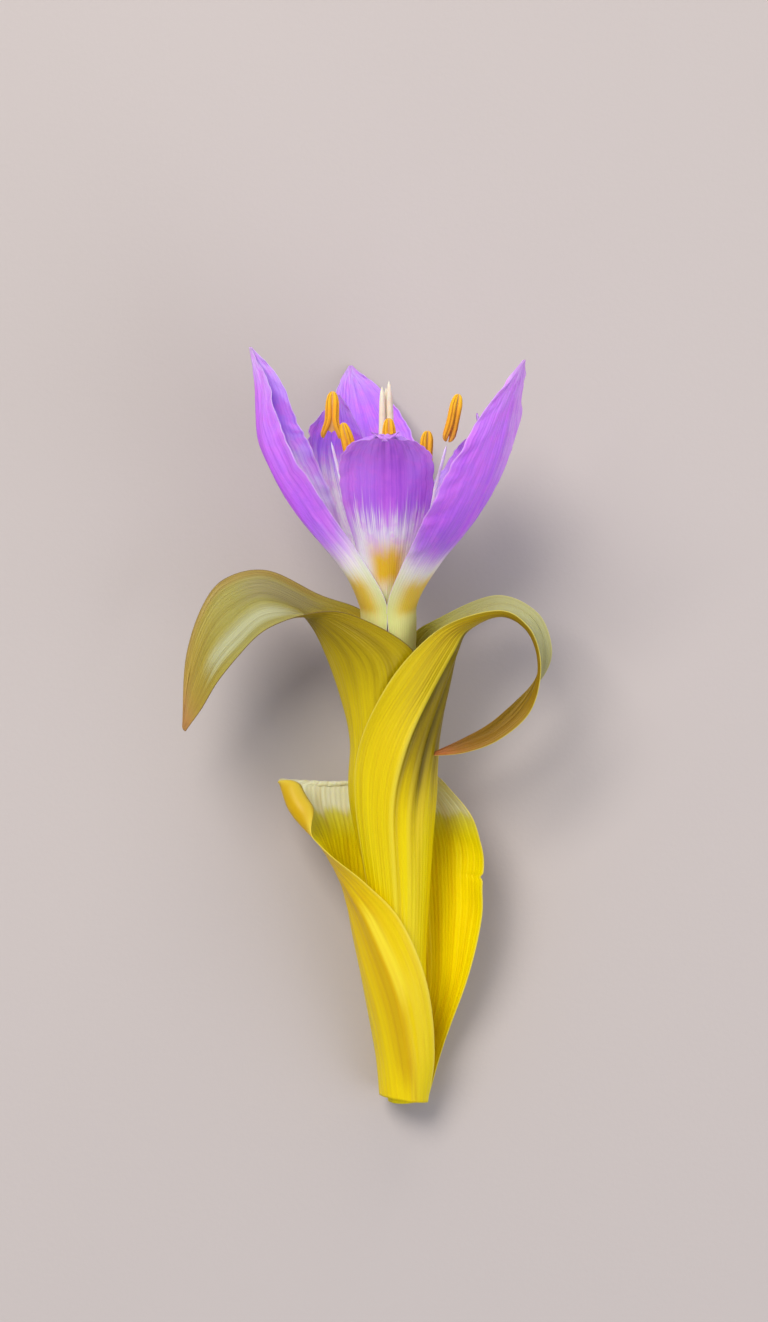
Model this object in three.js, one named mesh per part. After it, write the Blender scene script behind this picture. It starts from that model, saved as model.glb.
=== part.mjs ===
// Autumn crocus, one flowering plant cut at ground level and lying on a surface.
// Millimetres. X to the right, Y from the cut end to the flower, Z up from the surface.

import * as THREE from "three";

// ---- driving dimensions ----

const AXIS_TILT = 12; // degrees that the flower's axis rises above the surface
const THROAT = [0.5, 63.5, 16.75]; // middle of the flower's throat
const AXIS_LEAN = 0.033; // sideways run of the stem per mm below the throat
const LEAF_THICKNESS = 0.46;
const LEAF_MARGIN_THICKNESS = 0.24;
const TEPAL_THICKNESS = 0.24;
const TEPAL_MARGIN_THICKNESS = 0.16;
const STYLE_RADIUS = 0.36;
const FILAMENT_RADIUS = 0.3;
const ANTHER_WIDTH = 1.8;
const LEAF_STEPS = { across: 18, along: 28 };
const FOLD_ROUNDING = 0.35; // how softly a folded tepal turns at its midrib
const TEPAL_STEPS = { across: 6, along: 18 };

// ---- vector helpers ----

const vector = (values) => new THREE.Vector3(...values);
const radians = THREE.MathUtils.degToRad;
const flowerUp = new THREE.Vector3(0, Math.cos(radians(AXIS_TILT)), Math.sin(radians(AXIS_TILT)));
const flowerFront = new THREE.Vector3(0, -flowerUp.z, flowerUp.y);

/** A point from its place in the flower: x to the right, h up the axis, z to the front. */
function flowerPoint(x, h, z) {
  const lean = AXIS_LEAN * Math.max(0, -h);
  return vector(THROAT)
    .addScaledVector(new THREE.Vector3(1, 0, 0), x + lean)
    .addScaledVector(flowerUp, h)
    .addScaledVector(flowerFront, z);
}

/** Rows of numbers as a smooth function of a share from 0 to 1. */
function smooth(rows) {
  const last = rows.length - 1;
  const row = (i) => {
    if (i < 0) return rows[0].map((value, k) => 2 * value - rows[1][k]);
    if (i > last) return rows[last].map((value, k) => 2 * value - rows[last - 1][k]);
    return rows[i];
  };
  return (share) => {
    const place = Math.min(Math.max(share, 0), 1) * last;
    const i = Math.min(Math.floor(place), last - 1);
    const t = place - i;
    const [a, b, c, d] = [row(i - 1), row(i), row(i + 1), row(i + 2)];
    return b.map((value, k) => {
      const slope = c[k] - a[k];
      const bend = 2 * a[k] - 5 * value + 4 * c[k] - d[k];
      const turn = -a[k] + 3 * value - 3 * c[k] + d[k];
      return value + 0.5 * t * (slope + t * (bend + t * turn));
    });
  };
}

// ---- closed solids ----

/** A mesh geometry from points and triangles, turned to face out. */
function solid(points, triangles) {
  let volume = 0;
  for (const [a, b, c] of triangles) {
    volume += points[a].dot(new THREE.Vector3().crossVectors(points[b], points[c]));
  }
  const faces = volume > 0 ? triangles : triangles.map(([a, b, c]) => [a, c, b]);
  const geometry = new THREE.BufferGeometry();
  const places = points.flatMap((point) => point.toArray());
  geometry.setAttribute("position", new THREE.Float32BufferAttribute(places, 3));
  geometry.setIndex(faces.flat());
  geometry.computeVertexNormals();
  return geometry;
}

/** A closed sheet around the surface at(u, v), with u across and v along, both from 0 to 1. */
function sheet(at, thickness, steps) {
  const { across, along } = steps;
  const front = [];
  const back = [];
  const nudge = 0.002;
  for (let j = 0; j <= along; j += 1) {
    for (let i = 0; i <= across; i += 1) {
      const [u, v] = [i / across, j / along];
      const acrossStep = at(Math.min(u + nudge, 1), v).sub(at(Math.max(u - nudge, 0), v));
      const alongStep = at(u, Math.min(v + nudge, 1)).sub(at(u, Math.max(v - nudge, 0)));
      const normal = acrossStep.cross(alongStep).normalize();
      const half = thickness(u, v) / 2;
      front.push(at(u, v).addScaledVector(normal, half));
      back.push(at(u, v).addScaledVector(normal, -half));
    }
  }
  const offset = front.length;
  const index = (i, j) => j * (across + 1) + i;
  const triangles = [];
  for (let j = 0; j < along; j += 1) {
    for (let i = 0; i < across; i += 1) {
      const [a, b, c, d] = [index(i, j), index(i + 1, j), index(i + 1, j + 1), index(i, j + 1)];
      triangles.push([a, b, c], [a, c, d]);
      triangles.push([a + offset, c + offset, b + offset], [a + offset, d + offset, c + offset]);
    }
  }
  const rim = [];
  for (let i = 0; i < across; i += 1) rim.push(index(i, 0));
  for (let j = 0; j < along; j += 1) rim.push(index(across, j));
  for (let i = across; i > 0; i -= 1) rim.push(index(i, along));
  for (let j = along; j > 0; j -= 1) rim.push(index(0, j));
  rim.forEach((a, k) => {
    const b = rim[(k + 1) % rim.length];
    triangles.push([a, a + offset, b + offset], [a, b + offset, b]);
  });
  return solid([...front, ...back], triangles);
}

/** A closed rod along a path, whose outline at each share is outline(share, angle). */
function rod(path, outline, steps) {
  const { around, along } = steps;
  const points = [];
  let side = new THREE.Vector3(1, 0, 0);
  for (let j = 0; j <= along; j += 1) {
    const share = j / along;
    const tangent = path(Math.min(share + 0.01, 1)).sub(path(Math.max(share - 0.01, 0))).normalize();
    side = side.addScaledVector(tangent, -side.dot(tangent)).normalize();
    const up = new THREE.Vector3().crossVectors(side, tangent);
    for (let i = 0; i < around; i += 1) {
      const angle = (2 * Math.PI * i) / around;
      const reach = outline(share, angle);
      const point = path(share).addScaledVector(side, reach * Math.cos(angle));
      points.push(point.addScaledVector(up, reach * Math.sin(angle)));
    }
  }
  const [first, last] = [points.length, points.length + 1];
  points.push(path(0), path(1));
  const triangles = [];
  for (let i = 0; i < around; i += 1) {
    const next = (i + 1) % around;
    for (let j = 0; j < along; j += 1) {
      const [a, b] = [j * around + i, j * around + next];
      triangles.push([a, b, b + around], [a, b + around, a + around]);
    }
    triangles.push([first, next, i], [last, along * around + i, along * around + next]);
  }
  return solid(points, triangles);
}

// ---- leaves ----
// A leaf is a row of stations from the cut end to the tip. Each has its keel, its near margin,
// its far margin and how far each half swells out from the straight line between them.

/** A station rolled round the stem: the halves are arcs of one ring, turned from the keel. */
function ring([x, y, z], radius, keel, nearTurn, farTurn, hand) {
  const spot = (degrees) => {
    const angle = radians(degrees);
    return vector([x, y, z])
      .addScaledVector(new THREE.Vector3(1, 0, 0), radius * Math.cos(angle))
      .addScaledVector(flowerFront, radius * Math.sin(angle))
      .toArray();
  };
  return {
    keel: spot(keel),
    near: spot(keel - hand * nearTurn),
    far: spot(keel + hand * farTurn),
    swell: [nearTurn, farTurn].map((turn) => radius * (1 - Math.cos(radians(turn / 2)))),
  };
}

/** A point on the arc from start to end that swells out along the given side. */
function arcPoint(start, end, swell, tangent, side, share) {
  const chord = end.clone().sub(start);
  const length = chord.length();
  const out = new THREE.Vector3().crossVectors(tangent, chord).normalize().multiplyScalar(side);
  const bulge = Math.max(swell, 0.001);
  const radius = (length * length) / (8 * bulge) + bulge / 2;
  const half = 2 * Math.atan((2 * bulge) / length);
  const angle = half * (2 * share - 1);
  return start
    .clone()
    .add(end)
    .multiplyScalar(0.5)
    .addScaledVector(out, bulge - radius + radius * Math.cos(angle))
    .addScaledVector(chord.normalize(), radius * Math.sin(angle));
}

/** The surface of a leaf. Its near half fills u up to nearShare, and hand says which way it turns. */
function leafSurface(stations, hand, nearShare) {
  const rows = smooth(stations.map(({ keel, near, far, swell }) => [...keel, ...near, ...far, ...swell]));
  return (u, v) => {
    const row = rows(v);
    const keel = vector(row.slice(0, 3));
    const ahead = vector(rows(Math.min(v + 0.01, 1)).slice(0, 3));
    const tangent = ahead.sub(vector(rows(Math.max(v - 0.01, 0)).slice(0, 3))).normalize();
    if (u < nearShare) {
      return arcPoint(keel, vector(row.slice(3, 6)), row[9], tangent, -hand, 1 - u / nearShare);
    }
    const share = (u - nearShare) / (1 - nearShare);
    return arcPoint(keel, vector(row.slice(6, 9)), row[10], tangent, hand, share);
  };
}

function leafThickness(u, v) {
  const inner = Math.min(1, 5 * Math.min(u, 1 - u));
  const full = LEAF_MARGIN_THICKNESS + (LEAF_THICKNESS - LEAF_MARGIN_THICKNESS) * inner;
  return full * (1 - 0.3 * v);
}

const OUTER_LEAF = [
  ring([2.6, 0.5, 3.27], 3.05, -90, 252, 72, 1),
  ring([3.2, 7.2, 4.6], 4.25, -90, 228, 85, 1),
  { keel: [3.4, 15.4, 2.0], near: [5.4, 15.4, 10.9], far: [10.4, 15.4, 7.2], swell: [6.9, 1.5] },
  { keel: [2.4, 23.5, 3.0], near: [2.0, 23.5, 13.2], far: [12.1, 23.5, 9.0], swell: [6.3, 1.6] },
  { keel: [1.8, 28.2, 3.6], near: [-2.1, 27.8, 14.0], far: [12.3, 27.8, 9.8], swell: [5.0, 1.8] },
  { keel: [1.3, 31.6, 3.9], near: [-6.9, 31.6, 13.2], far: [12.5, 31.6, 9.8], swell: [3.6, 2.0] },
  { keel: [1.1, 34.6, 4.1], near: [-9.6, 34.2, 12.0], far: [11.9, 34.2, 9.4], swell: [2.8, 2.0] },
  { keel: [0.9, 38.0, 4.3], near: [-12.2, 37.4, 10.6], far: [10.4, 37.2, 8.8], swell: [2.4, 1.7] },
  { keel: [0.7, 40.9, 3.8], near: [-13.3, 40.5, 8.6], far: [7.6, 40.4, 7.6], swell: [1.6, 1.2] },
  { keel: [0.6, 41.4, 2.6], near: [-12.4, 40.9, 5.6], far: [6.8, 41.3, 5.6], swell: [0.8, 0.8] },
  { keel: [0.5, 38.8, 1.5], near: [-10.2, 39.0, 1.9], far: [7.6, 39.2, 1.9], swell: [0.7, 0.5] },
  { keel: [0.3, 33.0, 1.4], near: [-7.8, 33.0, 0.25], far: [7.6, 33.0, 0.25], swell: [0.6, 0.5] },
  { keel: [0.2, 27.5, 1.0], near: [-4.6, 27.7, 0.25], far: [4.8, 27.7, 0.25], swell: [0.3, 0.3] },
  { keel: [0.2, 22.0, 0.4], near: [-0.3, 22.2, 0.3], far: [0.7, 22.2, 0.3], swell: [0.02, 0.02] },
];

const RIGHT_LEAF = [
  ring([2.6, 0.7, 3.3], 2.32, 82, 70, 240, -1),
  ring([2.3, 10.0, 5.4], 2.9, 82, 66, 236, -1),
  ring([1.9, 18.3, 7.1], 3.2, 85, 62, 232, -1),
  ring([1.5, 27.6, 9.2], 4.15, 85, 62, 225, -1),
  ring([0.75, 38.5, 11.4], 5.65, 82, 58, 200, -1),
  ring([1.2, 45.8, 13.0], 5.75, 70, 70, 172, -1),
  { keel: [6.2, 52.2, 17.6], near: [0.0, 52.2, 19.6], far: [1.2, 51.6, 8.2], swell: [1.1, 3.9] },
  { keel: [8.9, 57.2, 18.4], near: [3.9, 57.3, 20.8], far: [3.2, 58.6, 10.4], swell: [0.6, 2.2] },
  { keel: [10.6, 60.0, 18.2], near: [8.3, 60.6, 21.0], far: [7.2, 61.4, 12.6], swell: [0.3, 1.2] },
  { keel: [14.5, 61.6, 17.2], near: [14.5, 62.1, 20.6], far: [14.1, 64.1, 12.6], swell: [0.2, 0.7] },
  { keel: [17.7, 60.2, 16.4], near: [17.9, 60.3, 19.6], far: [19.2, 62.0, 12.4], swell: [0.2, 0.6] },
  { keel: [19.3, 57.0, 15.8], near: [19.4, 57.2, 18.8], far: [21.0, 57.6, 12.4], swell: [0.2, 0.5] },
  { keel: [19.3, 53.4, 15.3], near: [19.4, 53.2, 18.0], far: [19.9, 54.0, 12.6], swell: [0.2, 0.4] },
  { keel: [17.2, 49.7, 15.2], near: [17.9, 49.1, 17.4], far: [16.3, 50.6, 13.0], swell: [0.2, 0.3] },
  { keel: [13.9, 46.8, 15.4], near: [14.2, 45.9, 17.0], far: [13.2, 47.9, 13.8], swell: [0.2, 0.3] },
  { keel: [9.9, 45.2, 15.6], near: [10.1, 44.4, 16.6], far: [9.7, 46.0, 14.8], swell: [0.1, 0.2] },
  { keel: [6.0, 44.1, 15.6], near: [6.0, 44.0, 15.8], far: [6.0, 44.3, 15.4], swell: [0.01, 0.01] },
];

const LEFT_LEAF = [
  ring([2.6, 0.9, 3.35], 1.75, 180, 150, 150, 1),
  ring([2.3, 10.0, 5.4], 2.3, 180, 150, 150, 1),
  ring([1.9, 18.3, 7.1], 2.6, 180, 150, 150, 1),
  ring([1.4, 27.6, 9.2], 3.3, 180, 148, 145, 1),
  ring([0.4, 38.5, 11.4], 4.6, 180, 140, 128, 1),
  ring([0.5, 45.8, 13.0], 4.6, 180, 130, 118, 1),
  { keel: [-5.3, 51.0, 14.2], near: [3.6, 52.4, 17.6], far: [1.6, 50.6, 10.6], swell: [2.6, 1.8] },
  { keel: [-7.3, 56.5, 15.6], near: [3.6, 57.2, 19.4], far: [1.4, 57.4, 12.0], swell: [2.4, 2.0] },
  { keel: [-9.2, 60.5, 16.4], near: [-3.6, 61.5, 20.4], far: [-2.4, 62.0, 11.6], swell: [1.2, 1.6] },
  { keel: [-11.2, 62.4, 16.8], near: [-8.4, 61.9, 20.9], far: [-8.0, 64.2, 12.2], swell: [0.7, 1.0] },
  { keel: [-15.6, 63.2, 17.2], near: [-14.2, 60.0, 21.4], far: [-14.6, 67.2, 13.4], swell: [0.5, 0.8] },
  { keel: [-19.4, 60.4, 17.8], near: [-18.0, 56.6, 21.4], far: [-19.9, 66.2, 14.6], swell: [0.5, 0.8] },
  { keel: [-22.0, 57.0, 18.0], near: [-20.6, 53.6, 20.8], far: [-22.8, 62.6, 15.2], swell: [0.4, 0.6] },
  { keel: [-23.8, 52.2, 18.0], near: [-22.9, 49.8, 19.6], far: [-24.8, 56.2, 16.0], swell: [0.3, 0.4] },
  { keel: [-25.0, 47.3, 17.6], near: [-24.8, 47.1, 17.8], far: [-25.2, 47.7, 17.4], swell: [0.01, 0.01] },
];

// ---- tepals ----
// A tepal's claw runs up from the cut, and its limb opens from the throat. Path rows are
// height up the axis, distance from the axis and width. Azimuth is from the front, to the right.

const OUTER_CLAW = [
  [-62.6, 1.25, 2.2],
  [-40, 1.8, 3.3],
  [-18, 2.6, 4.9],
  [-4, 3.3, 6.3],
  [0, 3.75, 7.2],
];

const INNER_CLAW = [
  [-62.4, 0.84, 1.3],
  [-40, 1.3, 2.0],
  [-18, 2.0, 3.0],
  [-4, 2.7, 4.2],
  [0, 3.1, 4.8],
];

const OUTER_LIMB_WIDTHS = [9.0, 11.9, 11.0, 6.4, 0.5];
const BROAD_LIMB_WIDTHS = [10.0, 14.0, 13.6, 7.6, 0.5];
const FOLDED_LIMB_WIDTHS = [7.2, 11.6, 12.8, 7.6, 0.5];
const INNER_LIMB_WIDTHS = [7.6, 11.2, 11.4, 6.6, 0.5];

const TEPALS = {
  tepal_outer_left: {
    claw: OUTER_CLAW,
    limb: [[5, 6.6], [12, 12.0], [20, 16.0], [27, 16.4], [32, 17.2]],
    widths: FOLDED_LIMB_WIDTHS,
    azimuth: -62,
    drift: -30,
    twist: -10,
    cup: 120,
    fold: 1,
    shift: 0.1,
    tipCup: 140,
  },
  tepal_outer_right: {
    claw: OUTER_CLAW,
    limb: [[5, 6.8], [11.5, 12.2], [19, 16.4], [27, 19.2], [33, 21.6]],
    widths: BROAD_LIMB_WIDTHS,
    azimuth: 57,
    drift: -6,
    twist: 0,
    cup: 92,
    fold: 0,
    shift: 0,
    tipCup: 50,
  },
  tepal_outer_back: {
    claw: OUTER_CLAW,
    limb: [[5, 6.6], [10.5, 11.3], [16.5, 16.3], [22, 20.6], [25.6, 22.75]],
    widths: OUTER_LIMB_WIDTHS,
    azimuth: 180,
    drift: 12,
    twist: 0,
    cup: 60,
    fold: 0,
    shift: 0,
    tipCup: 30,
  },
  tepal_inner_front: {
    claw: INNER_CLAW,
    limb: [[6, 5.2], [13.5, 8.8], [20.5, 13], [24.3, 17.8], [24.6, 22.3]],
    widths: INNER_LIMB_WIDTHS,
    azimuth: -1,
    drift: 0,
    twist: 0,
    cup: 62,
    fold: 0,
    shift: 0,
    tipCup: -70,
  },
  tepal_inner_back_left: {
    claw: INNER_CLAW,
    limb: [[5, 4.8], [11, 8.4], [16.5, 11.4], [20.5, 12.6], [24, 12.6]],
    widths: INNER_LIMB_WIDTHS,
    azimuth: -128,
    drift: -22,
    twist: 0,
    cup: 70,
    fold: 0,
    shift: 0,
    tipCup: 40,
  },
  tepal_inner_back_right: {
    claw: INNER_CLAW,
    limb: [[5, 5.6], [10.5, 9.0], [15.5, 11.4], [20, 12.0], [23.4, 11.2]],
    widths: INNER_LIMB_WIDTHS,
    azimuth: 120,
    drift: -22,
    twist: 0,
    cup: 70,
    fold: 0,
    shift: 0,
    tipCup: 40,
  },
};

/** The surface of a tepal. In the claw it hugs the tube, and past the throat it cups by itself. */
function tepalSurface({ claw, limb, widths, azimuth, drift, twist, cup, fold, shift, tipCup }) {
  const rows = smooth([...claw, ...limb.map(([height, reach], i) => [height, reach, widths[i]])]);
  const throat = (claw.length - 1) / (claw.length + limb.length - 1);
  const spread = (v) => THREE.MathUtils.smoothstep(v, throat, 1);
  const middle = (v) => {
    const [height, reach] = rows(v);
    const angle = radians(azimuth + drift * spread(v));
    return flowerPoint(reach * Math.sin(angle), height, reach * Math.cos(angle));
  };
  return (u, v) => {
    const [, reach, width] = rows(v);
    const angle = radians(azimuth + drift * spread(v));
    const tangent = middle(Math.min(v + 0.01, 1)).sub(middle(Math.max(v - 0.01, 0))).normalize();
    const face = new THREE.Vector3(-Math.sin(angle), 0, 0).addScaledVector(flowerFront, -Math.cos(angle));
    face.addScaledVector(tangent, -face.dot(tangent)).normalize();
    face.applyAxisAngle(tangent, radians(twist * Math.min(1, 2 * spread(v))));
    const side = new THREE.Vector3().crossVectors(tangent, face);
    const opening = THREE.MathUtils.smoothstep(v, throat - 0.02, throat + 0.2);
    const hug = width / reach;
    const limbTurn = radians(cup + (tipCup - cup) * spread(v) ** 2);
    const turn = hug + (limbTurn - hug) * opening || 0.01;
    const radius = width / turn;
    const swing = turn * (u - 0.5);
    const arm = 2 * u - 1 + shift * opening;
    const folded = Math.hypot(arm, FOLD_ROUNDING) - FOLD_ROUNDING;
    const flat = fold * opening;
    const half = 0.5 * flat * width;
    const sideways = (1 - flat) * radius * Math.sin(swing) + half * Math.cos(turn / 2) * arm;
    const inwards = (1 - flat) * radius * (1 - Math.cos(swing)) + half * Math.sin(turn / 2) * folded;
    return middle(v).addScaledVector(side, sideways).addScaledVector(face, inwards);
  };
}

function tepalThickness(u) {
  const inner = Math.min(1, 4 * Math.min(u, 1 - u));
  return TEPAL_MARGIN_THICKNESS + (TEPAL_THICKNESS - TEPAL_MARGIN_THICKNESS) * inner;
}

// ---- stamens and styles ----
// Places in the flower are [x to the right, height up the axis, z to the front].

const STAMENS = {
  front: { root: [0.1, 1, 2.5], joint: [0.2, 17.6, 5.2], tip: [0.1, 24.2, 5.6] },
  front_right: { root: [1.9, 1, 1.3], joint: [4.4, 16.6, 3.2], tip: [4.9, 22.2, 3.4] },
  right: { root: [2.1, 1, -1.1], joint: [7.3, 19.0, -3.6], tip: [8.8, 25.4, -4.2] },
  back: { root: [0.0, 1, -2.5], joint: [1.4, 11.4, -6.0], tip: [1.6, 17.4, -7.4] },
  left: { root: [-2.1, 1, -1.1], joint: [-7.1, 19.4, -3.8], tip: [-6.9, 25.7, -4.4] },
  front_left: { root: [-1.9, 1, 1.3], joint: [-3.9, 17.0, 2.9], tip: [-5.6, 23.2, 3.2] },
};

const STYLES = {
  style_left: { side: [-0.4, 0.2], tip: [-0.9, 27.2, 0.3] },
  style_right: { side: [0.4, 0.2], tip: [0.1, 27.9, 0.1] },
  style_back: { side: [0.0, -0.45], tip: [-0.3, 26.8, -1.0] },
};

/** The filament narrows from its root to where the anther sits. */
function filament({ root, joint }) {
  const bow = [0.04, 0, 0.04];
  const middle = root.map((value, k) => 0.5 * (value + joint[k]) + bow[k] * (joint[k] - value));
  const rows = smooth([root, middle, joint]);
  const outline = (share) => FILAMENT_RADIUS * (1.25 - 0.75 * share);
  return rod((share) => flowerPoint(...rows(share)), outline, { around: 6, along: 6 });
}

/** The anther is a pair of lobes side by side, so that its outline is waisted. */
function anther({ joint, tip }) {
  const start = joint.map((value, k) => value + 0.06 * (tip[k] - value));
  const rows = smooth([start, tip]);
  const outline = (share, angle) => {
    const taper = Math.sqrt(Math.max(0.03, 1 - Math.abs(2 * share - 0.92) ** 2.6));
    return 0.5 * ANTHER_WIDTH * taper * (0.8 + 0.2 * Math.cos(2 * angle));
  };
  return rod((share) => flowerPoint(...rows(share)), outline, { around: 10, along: 7 });
}

/** The style runs up from the cut inside the tube and ends free above the anthers. */
function style({ side, tip }) {
  const rows = smooth([
    [side[0], -62.2, side[1]],
    [side[0] * 1.1, -20, side[1] * 1.1],
    [side[0] * 1.3, 8, side[1] * 1.3],
    tip,
  ]);
  const outline = (share) => STYLE_RADIUS * (0.58 + 0.42 * Math.min(1, 2 * share));
  return rod((share) => flowerPoint(...rows(share)), outline, { around: 6, along: 10 });
}

// ---- assembly ----

const group = new THREE.Group();
const COLOURS = {
  leaf: 0xc9b40a,
  tepal: 0xb07cf0,
  anther: 0xe6a200,
  filament: 0xe4dcee,
  style: 0xebe1c3,
};

function add(name, geometry) {
  const kind = name.split("_")[0];
  const mesh = new THREE.Mesh(geometry, new THREE.MeshStandardMaterial({ color: COLOURS[kind] }));
  mesh.name = name;
  group.add(mesh);
}

add("leaf_outer_sheathing", sheet(leafSurface(OUTER_LEAF, 1, 0.5), leafThickness, LEAF_STEPS));
add("leaf_right_curled", sheet(leafSurface(RIGHT_LEAF, -1, 1 / 3), leafThickness, LEAF_STEPS));
add("leaf_left_arching", sheet(leafSurface(LEFT_LEAF, 1, 0.5), leafThickness, LEAF_STEPS));
for (const [name, size] of Object.entries(TEPALS)) {
  add(name, sheet(tepalSurface(size), tepalThickness, TEPAL_STEPS));
}
for (const [name, size] of Object.entries(STAMENS)) {
  add(`filament_${name}`, filament(size));
  add(`anther_${name}`, anther(size));
}
for (const [name, size] of Object.entries(STYLES)) {
  add(name, style(size));
}

// The origin is the middle of the bottom of the whole plant's box.
const box = new THREE.Box3().setFromObject(group);
const shift = new THREE.Vector3(-(box.min.x + box.max.x) / 2, -(box.min.y + box.max.y) / 2, -box.min.z);
for (const mesh of group.children) {
  mesh.geometry.translate(shift.x, shift.y, shift.z);
}

export default group;
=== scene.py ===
"""Visual model of a cut autumn crocus lying on a pale floor, in metres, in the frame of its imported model."""

import logging
import math
from dataclasses import dataclass, field
from enum import Enum
from typing import Any, Iterable

import bmesh
import bpy
import numpy as np
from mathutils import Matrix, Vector


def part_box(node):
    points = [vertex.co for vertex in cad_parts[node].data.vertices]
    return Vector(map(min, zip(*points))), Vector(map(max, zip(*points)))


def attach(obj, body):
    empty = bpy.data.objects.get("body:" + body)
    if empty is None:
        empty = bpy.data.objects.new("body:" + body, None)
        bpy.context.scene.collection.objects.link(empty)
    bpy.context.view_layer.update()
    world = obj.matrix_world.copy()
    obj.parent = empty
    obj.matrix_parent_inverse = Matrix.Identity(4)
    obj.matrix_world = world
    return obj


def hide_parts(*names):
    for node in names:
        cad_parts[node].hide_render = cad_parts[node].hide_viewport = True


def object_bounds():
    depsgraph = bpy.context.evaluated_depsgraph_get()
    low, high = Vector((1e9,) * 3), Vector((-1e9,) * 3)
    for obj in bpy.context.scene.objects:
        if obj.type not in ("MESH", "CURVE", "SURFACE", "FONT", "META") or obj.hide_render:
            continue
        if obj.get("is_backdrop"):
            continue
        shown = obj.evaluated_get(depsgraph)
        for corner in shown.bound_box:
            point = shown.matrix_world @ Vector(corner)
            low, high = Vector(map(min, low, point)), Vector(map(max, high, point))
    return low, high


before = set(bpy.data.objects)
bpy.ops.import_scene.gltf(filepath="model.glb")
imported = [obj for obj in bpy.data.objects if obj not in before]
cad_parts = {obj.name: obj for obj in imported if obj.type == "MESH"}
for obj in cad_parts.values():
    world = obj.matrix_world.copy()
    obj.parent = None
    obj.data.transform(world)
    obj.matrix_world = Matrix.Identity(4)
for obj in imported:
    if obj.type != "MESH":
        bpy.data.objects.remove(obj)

MM = 0.001
SEED = 7
log = logging.getLogger("crocus")


# ---- plain maths ----


def unit(vectors: np.ndarray) -> np.ndarray:
    """The vectors at length one."""
    return vectors / np.maximum(np.linalg.norm(vectors, axis=-1, keepdims=True), 1e-9)


def smooth(rows: Iterable[Iterable[float]], shares: np.ndarray) -> np.ndarray:
    """A smooth curve through rows of numbers.

    Args:
        rows: the rows that the curve passes through, evenly spaced.
        shares: where to read the curve, from 0 to 1.

    Returns:
        One row of numbers for each share.
    """
    table = np.asarray(rows, float)
    last = len(table) - 1
    padded = np.vstack([2 * table[0] - table[1], table, 2 * table[-1] - table[-2]])
    place = np.clip(shares, 0, 1) * last
    first = np.minimum(place.astype(int), last - 1)
    t = (place - first)[:, None]
    a, b, c, d = (padded[first + k] for k in range(4))
    return b + 0.5 * t * ((c - a) + t * ((2 * a - 5 * b + 4 * c - d) + t * (3 * b - a - 3 * c + d)))


def step(values: np.ndarray, low: float, high: float) -> np.ndarray:
    """A soft step in values, from 0 at low to 1 at high."""
    t = np.clip((values - low) / (high - low), 0, 1)
    return t * t * (3 - 2 * t)


def bump(values: np.ndarray, middle: float, reach: float) -> np.ndarray:
    """A soft hill of height 1 at middle."""
    return np.exp(-(((values - middle) / reach) ** 2))


def ripple(values: np.ndarray, waves: Iterable[tuple[float, float, float]]) -> np.ndarray:
    """A sum of sine waves, each given as how many, how high and its phase."""
    return sum(high * np.sin(2 * np.pi * count * values + phase) for count, high, phase in waves)


def tint(code: str) -> tuple[float, float, float, float]:
    """A linear colour.

    Args:
        code: its sRGB code, such as #c9b40a.

    Returns:
        Red, green, blue and 1.
    """
    parts = [int(code[i : i + 2], 16) / 255 for i in (1, 3, 5)]
    linear = [p / 12.92 if p <= 0.04045 else ((p + 0.055) / 1.055) ** 2.4 for p in parts]
    return (*linear, 1.0)


# ---- where the plant lies ----


@dataclass
class Lie:
    """How the plant lies: its flower's axis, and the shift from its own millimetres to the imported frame."""

    tilt: float = math.radians(12)
    throat: tuple[float, float, float] = (0.5, 63.5, 16.75)
    lean: float = 0.033
    shift: np.ndarray = field(default_factory=lambda: np.zeros(3))

    @property
    def up(self) -> np.ndarray:
        """The way the flower's axis points."""
        return np.array([0, math.cos(self.tilt), math.sin(self.tilt)])

    @property
    def front(self) -> np.ndarray:
        """The way the front tepal faces."""
        return np.array([0, -math.sin(self.tilt), math.cos(self.tilt)])

    def flower(self, x: Any, height: Any, z: Any) -> np.ndarray:
        """A point of the flower.

        Args:
            x: to the right of the axis.
            height: up the axis from the throat.
            z: to the front of the axis.

        Returns:
            The point or points in the plant's own millimetres.
        """
        x, height, z = (np.asarray(part, float)[..., None] for part in (x, height, z))
        lean = self.lean * np.maximum(0, -height)
        return np.array(self.throat) + (x + lean) * np.array([1.0, 0, 0]) + height * self.up + z * self.front

    def metres(self, points: np.ndarray) -> np.ndarray:
        """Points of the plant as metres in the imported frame."""
        return (points + self.shift) * MM


LIE = Lie()


# ---- shader wiring ----


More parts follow.
